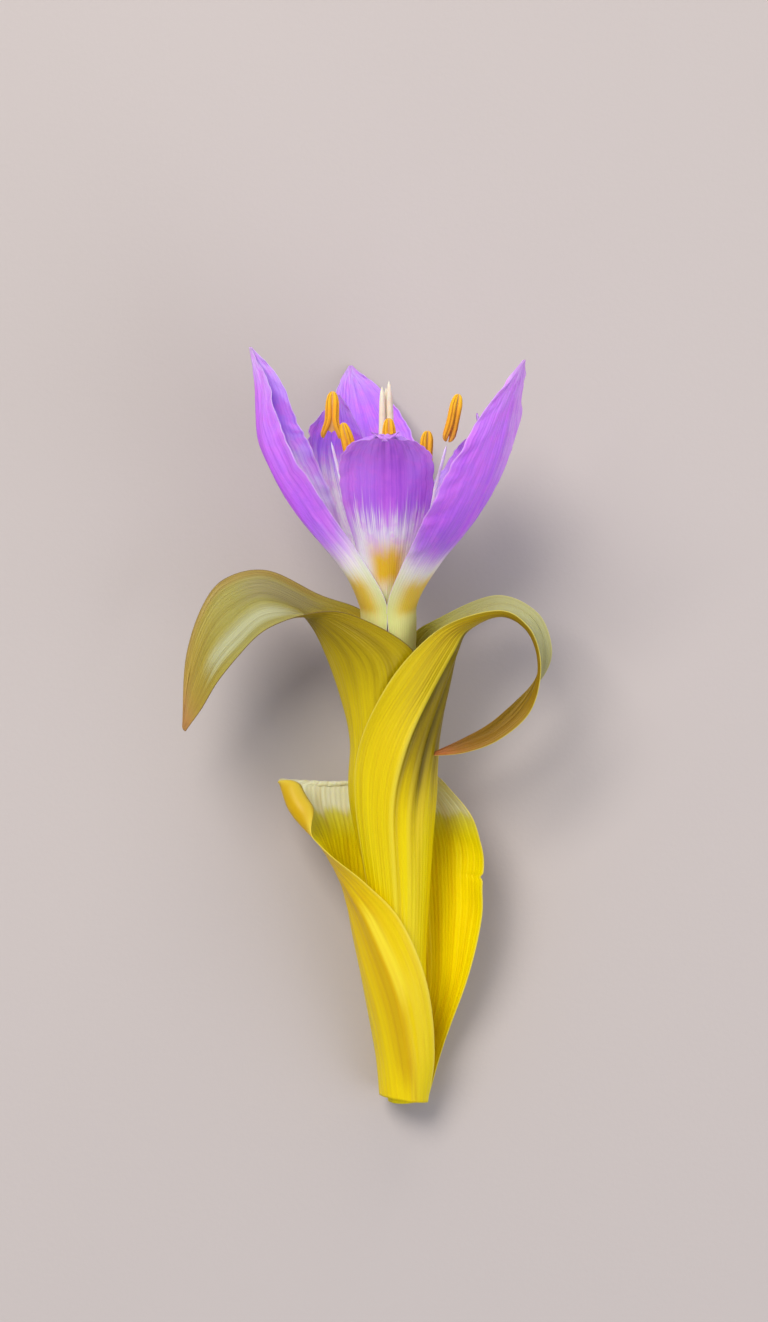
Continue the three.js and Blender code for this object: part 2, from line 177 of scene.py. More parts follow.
class Value:
    """A node's number output, which takes part in arithmetic."""

    def __init__(self, wiring: "Wiring", socket: bpy.types.NodeSocket) -> None:
        """Keeps the output and the wiring that it belongs to."""
        self.wiring = wiring
        self.socket = socket

    def __add__(self, other: Any) -> "Value":
        """self + other"""
        return self.wiring.math("ADD", self, other)

    __radd__ = __add__

    def __mul__(self, other: Any) -> "Value":
        """self * other"""
        return self.wiring.math("MULTIPLY", self, other)

    __rmul__ = __mul__

    def __sub__(self, other: Any) -> "Value":
        """self - other"""
        return self.wiring.math("SUBTRACT", self, other)

    def __rsub__(self, other: Any) -> "Value":
        """other - self"""
        return self.wiring.math("SUBTRACT", other, self)

    def __abs__(self) -> "Value":
        """abs(self)"""
        return self.wiring.math("ABSOLUTE", self)

    def sine(self) -> "Value":
        """The sine of this value."""
        return self.wiring.math("SINE", self)

    def held(self) -> "Value":
        """This value kept between 0 and 1."""
        return self.wiring.math("MINIMUM", self.wiring.math("MAXIMUM", self, 0.0), 1.0)

    def ramp(self, low: float, high: float) -> "Value":
        """A soft step of this value, from 0 at low to 1 at high."""
        settings = {"interpolation_type": "SMOOTHSTEP"}
        sockets = {"Value": self, "From Min": low, "From Max": high}
        return self.wiring.value("ShaderNodeMapRange", settings, sockets, "Result")


class Wiring:
    """The node tree of one material."""

    def __init__(self, name: str) -> None:
        """Makes the material and empties its tree."""
        self.material = bpy.data.materials.new(name)
        self.material.use_nodes = True
        self.tree = self.material.node_tree
        self.tree.nodes.clear()

    def node(self, kind: str, settings: dict[str, Any], sockets: dict[str, Any]) -> bpy.types.Node:
        """Makes a node.

        Args:
            kind: the node's type name.
            settings: its settings, which are set first; stops are a colour ramp's.
            sockets: the values or links of its inputs, by name or identifier.

        Returns:
            The node.
        """
        made = self.tree.nodes.new(kind)
        for name, value in settings.items():
            if name == "stops":
                self._stops(made.color_ramp, value)
            else:
                setattr(made, name, value)
        for name, value in sockets.items():
            socket = next(s for s in made.inputs if name in (s.identifier, s.name) and s.enabled)
            self._feed(socket, value)
        return made

    def _feed(self, socket: bpy.types.NodeSocket, value: Any) -> None:
        """Sets an input or links it."""
        if isinstance(value, Value):
            value = value.socket
        if isinstance(value, bpy.types.NodeSocket):
            self.tree.links.new(value, socket)
        else:
            socket.default_value = value

    def _stops(self, ramp: bpy.types.ColorRamp, stops: list[tuple[float, tuple[float, ...]]]) -> None:
        """Gives a colour ramp its stops.

        Args:
            ramp: the colour ramp.
            stops: each stop's place and linear colour, from first to last.
        """
        ramp.interpolation = "B_SPLINE" if len(stops) > 3 else "EASE"
        while len(ramp.elements) < len(stops):
            ramp.elements.new(0.5)
        for element, (place, colour) in zip(ramp.elements, stops):
            element.position = place
            element.color = colour

    def value(self, kind: str, settings: dict[str, Any], sockets: dict[str, Any], output: str) -> Value:
        """Makes a node and gives its output of that name as a value."""
        return Value(self, self.node(kind, settings, sockets).outputs[output])

    def math(self, operation: str, *terms: Any) -> Value:
        """Adds a Math node."""
        made = self.node("ShaderNodeMath", {"operation": operation}, {})
        for socket, term in zip(made.inputs, terms):
            self._feed(socket, term)
        return Value(self, made.outputs[0])

    def attribute(self, name: str) -> Value:
        """The piece's own attribute of that name."""
        return self.value("ShaderNodeAttribute", {"attribute_name": name}, {}, "Fac")

    def place(self, x: Any, y: Any, z: Any) -> bpy.types.NodeSocket:
        """A vector from three values."""
        return self.node("ShaderNodeCombineXYZ", {}, {"X": x, "Y": y, "Z": z}).outputs["Vector"]

    def noise(self, place: Any, scale: float, detail: float = 2.0, rough: float = 0.5) -> Value:
        """Smooth noise from about 0.2 to 0.8."""
        sockets = {"Vector": place, "Scale": scale, "Detail": detail, "Roughness": rough}
        return self.value("ShaderNodeTexNoise", {}, sockets, "Fac")

    def ramp(self, factor: Value, stops: list[tuple[float, str]]) -> bpy.types.NodeSocket:
        """A colour that runs through stops, each a place and an sRGB code."""
        linear = [(place, tint(code)) for place, code in stops]
        return self.node("ShaderNodeValToRGB", {"stops": linear}, {"Fac": factor}).outputs["Color"]

    def mix(self, factor: Any, first: Any, second: Any, blend: str = "MIX") -> bpy.types.NodeSocket:
        """A mix of two colours.

        Args:
            factor: how much of the second shows.
            first: a link or an sRGB code.
            second: a link or an sRGB code.
            blend: the way that they mix.

        Returns:
            The mixed colour's output.
        """
        first, second = (tint(c) if isinstance(c, str) else c for c in (first, second))
        settings = {"data_type": "RGBA", "blend_type": blend, "clamp_factor": True}
        sockets = {"Factor_Float": factor, "A_Color": first, "B_Color": second}
        made = self.node("ShaderNodeMix", settings, sockets)
        return next(s for s in made.outputs if s.identifier == "Result_Color")

    def finish(
        self, colour: Any, roughness: Any, height: Value, relief: float, **steady: Any
    ) -> bpy.types.Material:
        """Ends the tree in a Principled shader.

        Args:
            colour: the base colour.
            roughness: the roughness.
            height: the height that a bump follows.
            relief: how far the bump stands out, in metres.
            steady: numbers and colours that are the same all over.

        Returns:
            The material.
        """
        bumped = self.node("ShaderNodeBump", {}, {"Strength": 1.0, "Distance": relief, "Height": height})
        sockets = {"Base Color": colour, "Roughness": roughness, "Normal": bumped.outputs["Normal"]}
        named = {
            name.replace("_", " ").title().replace("Ior", "IOR"): value for name, value in steady.items()
        }
        shader = self.node("ShaderNodeBsdfPrincipled", {}, {**sockets, **named})
        self.node("ShaderNodeOutputMaterial", {}, {"Surface": shader.outputs["BSDF"]})
        return self.material


# ---- finishes ----


class Face(Enum):
    """Which face of a blade a patch of colour lies on."""

    OUTER = 0.0
    INNER = 1.0
    BOTH = 0.5


@dataclass(frozen=True)
class Patch:
    """A soft patch of colour on a blade.

    Along and across each give where it starts, is full, ends being full and stops.
    """

    face: Face
    colour: str
    along: tuple[float, float, float, float]
    across: tuple[float, float, float, float] = (-0.2, -0.1, 1.1, 1.2)
    strength: float = 1.0
    ragged: float = 0.1

    def mask(self, wiring: Wiring, along: Value, across: Value, inner: Value, streaks: Value) -> Value:
        """How much of the patch shows.

        Args:
            wiring: the material's wiring; not used.
            along: the place along the blade.
            across: the place across the blade.
            inner: 1 on the inner face.
            streaks: noise that is drawn out along the blade, about 0.5.

        Returns:
            The patch's share of the colour.
        """
        torn = along + (streaks - 0.5) * self.ragged
        shown = torn.ramp(*self.along[:2]) * (1 - torn.ramp(*self.along[2:]))
        shown = shown * across.ramp(*self.across[:2]) * (1 - across.ramp(*self.across[2:]))
        if self.face is Face.INNER:
            shown = shown * inner
        if self.face is Face.OUTER:
            shown = shown * (1 - inner)
        return shown * self.strength


@dataclass(frozen=True)
class BladeFinish:
    """Living tissue whose colour follows a blade, with stops, patches, streaks, veins and a rim; some stops
    and patches are painted shade and highlights.
    """

    name: str
    outer: tuple[tuple[float, str], ...]
    inner: tuple[tuple[float, str], ...]
    rim: str
    streak: str
    veins: float = 46.0
    vein_depth: float = 0.22
    streak_share: float = 0.3
    rim_share: float = 0.5
    rim_width: float = 0.03
    patches: tuple[Patch, ...] = ()
    roughness: float = 0.42
    relief: float = 0.00006
    glow: float = 0.25
    glow_colour: tuple[float, float, float] = (1.0, 0.8, 0.2)
    sheen: float = 0.0
    streaks_from: tuple[float, float] = (-0.2, -0.1)
    blush: str = "#ffffff"
    blush_share: float = 0.0

    def material(self) -> bpy.types.Material:
        """The finish as a material."""
        w = Wiring(self.name)
        across, along, inner = (w.attribute(name) for name in ("across", "along", "inner"))
        coarse = w.noise(w.place(across * 16, along * 3.0, inner * 5), 1.0, 3.0, 0.6)
        fine = w.noise(w.place(across * 90, along * 9.0, inner * 9), 1.0, 2.0, 0.5)
        grain = w.noise(w.place(across * 260, along * 160, inner * 3), 1.0, 1.0, 0.5)
        ribs = ((across * (self.veins * 2 * math.pi)).sine() * 0.5 + 0.5) * (0.4 + fine)
        drawn = along + (coarse - 0.5) * 0.05
        colour = w.mix(inner, w.ramp(drawn, list(self.outer)), w.ramp(drawn, list(self.inner)))
        for patch in self.patches:
            shown = patch.mask(w, along, across, inner, coarse * 0.6 + fine * 0.4)
            colour = w.mix(shown, colour, patch.colour)
        marked = along.ramp(*self.streaks_from)
        if self.blush_share:
            cloud = w.noise(w.place(across * 5, along * 22, inner * 7), 1.0, 3.0, 0.65)
            colour = w.mix(cloud.ramp(0.45, 0.62) * marked * self.blush_share, colour, self.blush)
        streaked = coarse.ramp(0.42, 0.72) * marked * self.streak_share
        veined = ribs * fine.ramp(0.35, 0.75) * marked * self.vein_depth
        colour = w.mix(streaked.held(), colour, self.streak, "MULTIPLY")
        colour = w.mix(veined.held(), colour, self.streak, "MULTIPLY")
        edge = abs(across - 0.5) * 2
        colour = w.mix(edge.ramp(1 - self.rim_width, 1.0) * self.rim_share, colour, self.rim)
        height = ribs * 0.5 + coarse * 0.4 + grain * 0.25
        rough = fine * 0.2 + (self.roughness - 0.1)
        steady = {
            "specular_ior_level": 0.2,
            "subsurface_weight": self.glow,
            "subsurface_radius": self.glow_colour,
            "subsurface_scale": 0.0012,
            "sheen_weight": self.sheen,
        }
        return w.finish(colour, rough, height, self.relief, **steady)


@dataclass(frozen=True)
class StemFinish:
    """Smooth stalk tissue that changes colour from its root to its end."""

    name: str
    stops: tuple[tuple[float, str], ...]
    mottle: str
    roughness: float = 0.4
    glow: float = 0.3

    def material(self) -> bpy.types.Material:
        """The finish as a material."""
        w = Wiring(self.name)
        along = w.attribute("along")
        place = w.node("ShaderNodeTexCoord", {}, {}).outputs["Object"]
        cells = w.noise(place, 2600.0, 2.0, 0.6)
        soft = w.noise(place, 420.0, 2.0, 0.5)
        mottled = (soft.ramp(0.45, 0.75) * 0.45).held()
        colour = w.mix(mottled, w.ramp(along, list(self.stops)), self.mottle, "MULTIPLY")
        rough = soft * 0.2 + (self.roughness - 0.1)
        return w.finish(colour, rough, cells, 0.00003, subsurface_weight=self.glow, subsurface_scale=0.001)


@dataclass(frozen=True)
class AntherFinish:
    """Ripe anther: grainy lobes, darker in their slits, with a tan strip where the lobes join."""

    name: str = "anther_pollen_skin"
    skin: tuple[tuple[float, str], ...] = ((0.0, "#eaa828"), (0.45, "#f4ac08"), (1.0, "#fbc004"))
    slit: str = "#a35c00"
    strip: str = "#d9a878"

    def material(self) -> bpy.types.Material:
        """The finish as a material."""
        w = Wiring(self.name)
        along, slit, strip = (w.attribute(name) for name in ("along", "slit", "strip"))
        place = w.node("ShaderNodeTexCoord", {}, {}).outputs["Object"]
        grains = w.noise(place, 9000.0, 1.0, 0.4)
        soft = w.noise(place, 1400.0, 3.0, 0.6)
        colour = w.ramp(along + (soft - 0.5) * 0.5, list(self.skin))
        colour = w.mix((slit * 0.85).held(), colour, self.slit)
        colour = w.mix((strip * 0.8).held(), colour, self.strip)
        colour = w.mix(grains.ramp(0.5, 0.75) * 0.3, colour, "#fbd54a")
        height = grains * 0.7 + soft * 0.6 - slit * 0.5
        steady = {"subsurface_weight": 0.15, "subsurface_scale": 0.0006}
        return w.finish(colour, soft * 0.2 + 0.6, height, 0.00008, **steady)


@dataclass(frozen=True)
class FloorFinish:
    """Plain pale matt board."""

    name: str = "pale_floor"
    colour: str = "#b8b1af"

    def material(self) -> bpy.types.Material:
        """The finish as a material."""
        w = Wiring(self.name)
        place = w.node("ShaderNodeTexCoord", {}, {}).outputs["Object"]
        soft = w.noise(place, 9.0, 3.0, 0.5)
        colour = w.mix(soft.ramp(0.3, 0.7) * 0.12, self.colour, "#aca5a3")
        return w.finish(colour, 0.85, w.noise(place, 1500.0), 0.00002)


# ---- meshes ----


@dataclass
class Grid:
    """Points over a surface, along by across by 3, the way its inner face looks, and its shares each way."""

    points: np.ndarray
    inwards: np.ndarray
    across: np.ndarray
    along: np.ndarray


def face_way(points: np.ndarray, hand: int) -> np.ndarray:
    """The way the inner face of a grid of points looks, where hand is 1 or -1."""
    normal = np.cross(np.gradient(points, axis=1), np.gradient(points, axis=0))
    return unit(normal) * hand


def mesh_from(
    name: str, points: np.ndarray, faces: list[list[int]], marks: dict[str, np.ndarray]
) -> bpy.types.Object:
    """A mesh object, smooth and facing out.

    Args:
        name: the object's name.
        points: its points in metres.
        faces: each face's point numbers.
        marks: attributes with one number for each point.

    Returns:
        The object, linked to the scene.
    """
    mesh = bpy.data.meshes.new(name)
    mesh.from_pydata(points.tolist(), [], faces)
    for mark, numbers in marks.items():
        layer = mesh.attributes.new(mark, "FLOAT", "POINT")
        layer.data.foreach_set("value", np.asarray(numbers, np.float32).ravel())
    shell = bmesh.new()
    shell.from_mesh(mesh)
    bmesh.ops.dissolve_degenerate(shell, dist=1e-8, edges=shell.edges)
    bmesh.ops.recalc_face_normals(shell, faces=shell.faces)
    shell.to_mesh(mesh)
    shell.free()
    mesh.polygons.foreach_set("use_smooth", [True] * len(mesh.polygons))
    made = bpy.data.objects.new(name, mesh)
    bpy.context.scene.collection.objects.link(made)
    return made


def closed_sheet(name: str, grid: Grid, thickness: np.ndarray) -> bpy.types.Object:
    """A closed sheet round a grid, with across, along and inner as attributes.

    Args:
        name: the sheet's name.
        grid: the middle of the sheet.
        thickness: how thick it is at each point of the grid, in millimetres.

    Returns:
        The sheet as a mesh object.
    """
    high, wide = grid.points.shape[:2]
    half = grid.inwards * thickness[..., None] / 2
    points = np.concatenate([(grid.points + half).reshape(-1, 3), (grid.points - half).reshape(-1, 3)])
    number = np.arange(high * wide).reshape(high, wide)
    quads = [number[:-1, :-1], number[:-1, 1:], number[1:, 1:], number[1:, :-1]]
    inner = np.stack([q.ravel() for q in quads], axis=1)
    outer = inner[:, ::-1] + high * wide
    ring = np.concatenate([number[0, :-1], number[:-1, -1], number[-1, :0:-1], number[:0:-1, 0]])
    after = np.roll(ring, -1)
    rim = np.stack([after, ring, ring + high * wide, after + high * wide], axis=1)
    u = np.broadcast_to(grid.across[None, :], (high, wide)).ravel()
    v = np.broadcast_to(grid.along[:, None], (high, wide)).ravel()
    face = np.concatenate([np.ones(high * wide), np.zeros(high * wide)])
    marks = {"across": np.tile(u, 2), "along": np.tile(v, 2), "inner": face}
    return mesh_from(name, LIE.metres(points), np.concatenate([inner, outer, rim]).tolist(), marks)


def settle(piece: bpy.types.Object, material: bpy.types.Material, node: str) -> bpy.types.Object:
    """Dresses a piece and lets it ride in place of its CAD node.

    Args:
        piece: the piece.
        material: its finish.
        node: the CAD node that it replaces.

    Returns:
        The piece.
    """
    piece.data.materials.clear()
    piece.data.materials.append(material)
    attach(piece, "root")
    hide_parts(node)
    log.info("%s: %d faces", piece.name, len(piece.data.polygons))
    return piece


# ---- leaves ----


@dataclass(frozen=True)
class Station:
    """A place along a leaf: its keel, its two margins and how far each half swells out, in millimetres."""

    keel: tuple[float, float, float]
    near: tuple[float, float, float]
    far: tuple[float, float, float]
    swell: tuple[float, float]

    def row(self) -> list[float]:
        """The station as a row of numbers."""
        return [*self.keel, *self.near, *self.far, *self.swell]


def rolled(
    centre: tuple[float, float, float], radius: float, keel: float, near: float, far: float, hand: int
) -> Station:
    """A station rolled round the stem.

    Args:
        centre: the middle of the roll.
        radius: its radius.
        keel: where the keel is, in degrees from the right, towards the front.
        near: how far the near half turns from the keel, in degrees.
        far: how far the far half turns from the keel, in degrees.
        hand: 1 if the near half turns away from the front, or -1.

    Returns:
        The station.
    """

    def spot(degrees: float) -> tuple[float, ...]:
        """The point of the roll at an angle."""
        angle = math.radians(degrees)
        side = np.array([1.0, 0, 0]) * math.cos(angle) + LIE.front * math.sin(angle)
        return tuple(np.array(centre) + radius * side)

    swell = tuple(radius * (1 - math.cos(math.radians(turn / 2))) for turn in (near, far))
    return Station(spot(keel), spot(keel - hand * near), spot(keel + hand * far), swell)


@dataclass(frozen=True)
class Pleat:
    """A lengthwise ridge or groove in a blade: its place across, width, height and where it runs."""

    across: float
    width: float
    height: float
    along: tuple[float, float]

    def relief(self, u: np.ndarray, v: np.ndarray) -> np.ndarray:
        """Its height over a grid.

        Args:
            u: the grid's shares across.
            v: its shares along.

        Returns:
            The height at each point, in millimetres.
        """
        start, stop = self.along
        fade = 0.25 * (stop - start)
        run = step(v, start, start + fade) * (1 - step(v, stop - fade, stop))
        return self.height * bump(u, self.across, self.width) * run


@dataclass(frozen=True)
class Curl:
    """A near margin rolled over towards the inner face, with some spare millimetres to roll."""

    width: float
    turn: float
    spare: float
    along: tuple[float, float, float, float]

    def bend(
        self, points: np.ndarray, inwards: np.ndarray, across: np.ndarray, along: np.ndarray
    ) -> np.ndarray:
        """Rolls the margin over.

        Args:
            points: the grid's points.
            inwards: the way its inner face looks.
            across: its shares across.
            along: its shares along.

        Returns:
            The points with the margin rolled over.
        """
        last = int(np.searchsorted(across, self.width))
        run = step(along, *self.along[:2]) * (1 - step(along, *self.along[2:]))
        root, facing = points[:, last], inwards[:, last]
        outwards = unit(points[:, last - 1] - points[:, last + 1])
        length = np.linalg.norm(points[:, 0] - root, axis=-1) + self.spare * run
        share = np.linspace(1, 0, last, endpoint=False)[None, :, None]
        turn = (np.radians(self.turn) * run + 1e-3)[:, None, None]
        radius = length[:, None, None] / turn
        out, over = np.sin(turn * share), 1 - np.cos(turn * share)
        curled = root[:, None] + radius * (out * outwards[:, None] + over * facing[:, None])
        bent = points.copy()
        weight = run[:, None, None]
        bent[:, :last] = points[:, :last] * (1 - weight) + curled * weight
        return bent


@dataclass
class Leaf:
    """A leaf blade: its stations, which way its near half turns, its fine shape and its finish."""

    node: str
    stations: list[Station]
    hand: int
    near_share: float
    finish: BladeFinish
    pleats: tuple[Pleat, ...] = ()
    curl: Curl | None = None
    nicks: tuple[tuple[float, float, float], ...] = ()
    waves: tuple[tuple[float, float, float], ...] = ((3, 0.1, 0.5),)
    thickness: float = 0.46
    margin: float = 0.12
    ribs: int = 22
    rib_height: float = 0.035
    size: tuple[int, int] = (90, 300)

    def surface(self, across: np.ndarray, along: np.ndarray) -> np.ndarray:
        """The middle of the blade.

        Args:
            across: shares across, from the near margin.
            along: shares along, from the cut.

        Returns:
            Points in millimetres, along by across by 3.
        """
        table = [station.row() for station in self.stations]
        rows = smooth(table, along)
        keel, near, far = (rows[:, None, k : k + 3] for k in (0, 3, 6))
        ahead, behind = (smooth(table, along + nudge)[:, :3] for nudge in (0.01, -0.01))
        tangent = unit(ahead - behind)[:, None]
        is_near = (across < self.near_share)[None, :]
        end = np.where(is_near[..., None], near, far)
        swell = np.maximum(np.where(is_near, rows[:, 9:10], rows[:, 10:11]), 0.001)[..., None]
        side = np.where(is_near, -self.hand, self.hand)[..., None]
        far_share = (across - self.near_share) / (1 - self.near_share)
        share = np.where(is_near, 1 - across / self.near_share, far_share)
        chord = end - keel
        length = np.linalg.norm(chord, axis=-1, keepdims=True)
        out = unit(np.cross(np.broadcast_to(tangent, chord.shape), chord)) * side
        radius = length**2 / (8 * swell) + swell / 2
        half = 2 * np.arctan(2 * swell / length)
        angle = half * (2 * share[..., None] - 1)
        lift = swell - radius + radius * np.cos(angle)
        return (keel + end) / 2 + out * lift + unit(chord) * radius * np.sin(angle)

    def grid(self) -> Grid:
        """The blade with its pleats, waves, ribs, curl and nicks."""
        across = 0.5 - 0.5 * np.cos(np.pi * np.linspace(0.03, 0.97, self.size[0]))
        across = (across - across[0]) / (across[-1] - across[0])
        along = np.linspace(0, 1, self.size[1])
        points = self.surface(across, along)
        for _ in range(4):
            points[:, 1:-1] = 0.25 * points[:, :-2] + 0.5 * points[:, 1:-1] + 0.25 * points[:, 2:]
        for row, depth, reach in self.nicks:
            pull = depth * bump(along, row, reach)[:, None, None] * step(across, 0.8, 1.0)[None, :, None]
            points = points + pull * unit(points[:, -12:-11] - points[:, -1:])
        inwards = face_way(points, self.hand)
        if self.curl:
            points = self.curl.bend(points, inwards, across, along)
            inwards = face_way(points, self.hand)
        u, v = across[None, :], along[:, None]
        ends = step(v, 0.02, 0.12) * (1 - step(v, 0.86, 1.0))
        inside = step(0.5 - abs(u - 0.5), 0.0, 0.06)
        relief = self.rib_height * np.cos(2 * np.pi * self.ribs * u) * ends * inside
        relief = relief + sum(pleat.relief(u, v) for pleat in self.pleats)
        sway = step(abs(u - 0.5), 0.2, 0.5) * ends
        relief = relief + ripple(v + 0.3 * u, self.waves) * sway
        points = points + inwards * relief[..., None]
        return Grid(points, face_way(points, self.hand), across, along)

    def build(self) -> bpy.types.Object:
        """The leaf as a dressed piece."""
        grid = self.grid()
        u, v = grid.across[None, :], grid.along[:, None]
        thin = self.margin + (self.thickness - self.margin) * step(0.5 - abs(u - 0.5), 0.0, 0.16)
        piece = closed_sheet(self.node + "_blade", grid, thin * (1 - 0.3 * v))
        return settle(piece, self.finish.material(), self.node)


# ---- tepals ----


OUTER_CLAW = ((-62.6, 1.25, 2.3), (-40, 1.8, 3.5), (-18, 2.6, 5.2), (-4, 3.3, 6.7), (0, 3.75, 7.7))
INNER_CLAW = ((-62.4, 0.84, 1.3), (-40, 1.3, 2.0), (-18, 2.0, 3.0), (-4, 2.7, 4.2), (0, 3.1, 4.8))


class Cut(Enum):
    """How a tepal is cut: its claw's rows of height, reach and width, and its limb's widths."""

    OUTER = (OUTER_CLAW, (9.0, 11.9, 11.0, 6.4, 0.5))
    BROAD = (OUTER_CLAW, (10.2, 14.2, 13.8, 7.6, 0.5))
    FOLDED = (OUTER_CLAW, (8.6, 12.8, 13.2, 7.8, 0.5))
    INNER = (INNER_CLAW, (7.6, 11.2, 11.4, 6.6, 0.5))


@dataclass
class Tepal:
    """A tepal with its claw. Angles are in degrees and sizes in millimetres."""

    node: str
    cut: Cut
    limb: tuple[tuple[float, float], ...]
    azimuth: float
    finish: BladeFinish
    drift: float = 0.0
    twist: float = 0.0
    cup: float = 70.0
    tip_cup: float = 40.0
    fold: float = 0.0
    shift: float = 0.0
    ruffle: tuple[tuple[float, float, float], ...] = ((9, 0.10, 0.4), (17, 0.06, 1.9), (31, 0.03, 0.3))
    rounding: float = 0.35
    thickness: float = 0.24
    margin: float = 0.07
    size: tuple[int, int] = (72, 240)

    def rows(self) -> list[tuple[float, float, float]]:
        """Height, reach and width from the cut to the tip."""
        claw, widths = self.cut.value
        return [*claw, *((height, reach, width) for (height, reach), width in zip(self.limb, widths))]

    def surface(self, across: np.ndarray, along: np.ndarray) -> np.ndarray:
        """The middle of the tepal.

        Args:
            across: shares across, from the left margin.
            along: shares along, from the cut.

        Returns:
            Points in millimetres, along by across by 3.
        """
        table = self.rows()
        throat = (len(self.cut.value[0]) - 1) / (len(table) - 1)

        def middle(shares: np.ndarray) -> np.ndarray:
            """The tepal's midline."""
            height, reach, _ = smooth(table, shares).T
            turned = np.radians(self.azimuth + self.drift * step(shares, throat, 1))
            return LIE.flower(reach * np.sin(turned), height, reach * np.cos(turned))

        _, reach, width = smooth(table, along).T
        width = width * (1 + 0.012 * ripple(along, ((23, 1, 0.5), (41, 0.6, 1.0))) * step(along, 0.62, 0.75))
        spread = step(along, throat, 1)
        angle = np.radians(self.azimuth + self.drift * spread)
        tangent = unit(middle(np.minimum(along + 0.01, 1)) - middle(np.maximum(along - 0.01, 0)))
        face = -np.sin(angle)[:, None] * np.array([1.0, 0, 0]) - np.cos(angle)[:, None] * LIE.front
        face = unit(face - tangent * np.sum(face * tangent, axis=1, keepdims=True))
        turn = np.radians(self.twist * np.minimum(1, 2 * spread))[:, None]
        face = face * np.cos(turn) + np.cross(tangent, face) * np.sin(turn)
        side = np.cross(tangent, face)
        opening = step(along, throat - 0.02, throat + 0.2)
        hug = width / reach
        bend = hug + (np.radians(self.cup + (self.tip_cup - self.cup) * spread**2) - hug) * opening
        bend = np.where(abs(bend) < 0.01, 0.01, bend)[:, None]
        radius = width[:, None] / bend
        swing = bend * (across[None, :] - 0.5)
        arm = 2 * across[None, :] - 1 + self.shift * opening[:, None]
        folded = np.hypot(arm, self.rounding) - self.rounding
        flat = self.fold * opening[:, None]
        wide = 0.5 * flat * width[:, None]
        sideways = (1 - flat) * radius * np.sin(swing) + wide * np.cos(bend / 2) * arm
        inwards = (1 - flat) * radius * (1 - np.cos(swing)) + wide * np.sin(bend / 2) * folded
        out = middle(along)[:, None] + side[:, None] * sideways[..., None]
        return out + face[:, None] * inwards[..., None]

    def build(self) -> bpy.types.Object:
        """The tepal as a dressed piece."""
        across = np.linspace(0, 1, self.size[0])
        along = np.linspace(0, 1, self.size[1])
        points = self.surface(across, along)
        inwards = face_way(points, 1)
        u, v = across[None, :], along[:, None]
        limb = step(v, 0.5, 0.66) * (1 - step(v, 0.93, 1.0))
        relief = 0.022 * np.cos(2 * np.pi * 13 * u) * limb
        relief = relief + ripple(v + 0.15 * u, self.ruffle) * limb * step(abs(u - 0.5), 0.22, 0.5) * 1.6
        relief = relief + ripple(v + 0.6 * u, ((5, 0.05, 1.0), (11, 0.035, 2.0))) * limb
        relief = relief - 0.12 * bump(u, 0.5, 0.03) * limb
        points = points + inwards * relief[..., None]
        thin = self.margin + (self.thickness - self.margin) * step(0.5 - abs(u - 0.5), 0.0, 0.25)
        grid = Grid(points, face_way(points, 1), across, along)
        piece = closed_sheet(self.node + "_blade", grid, thin * np.ones_like(v))
        return settle(piece, self.finish.material(), self.node)


# ---- rods along a path ----


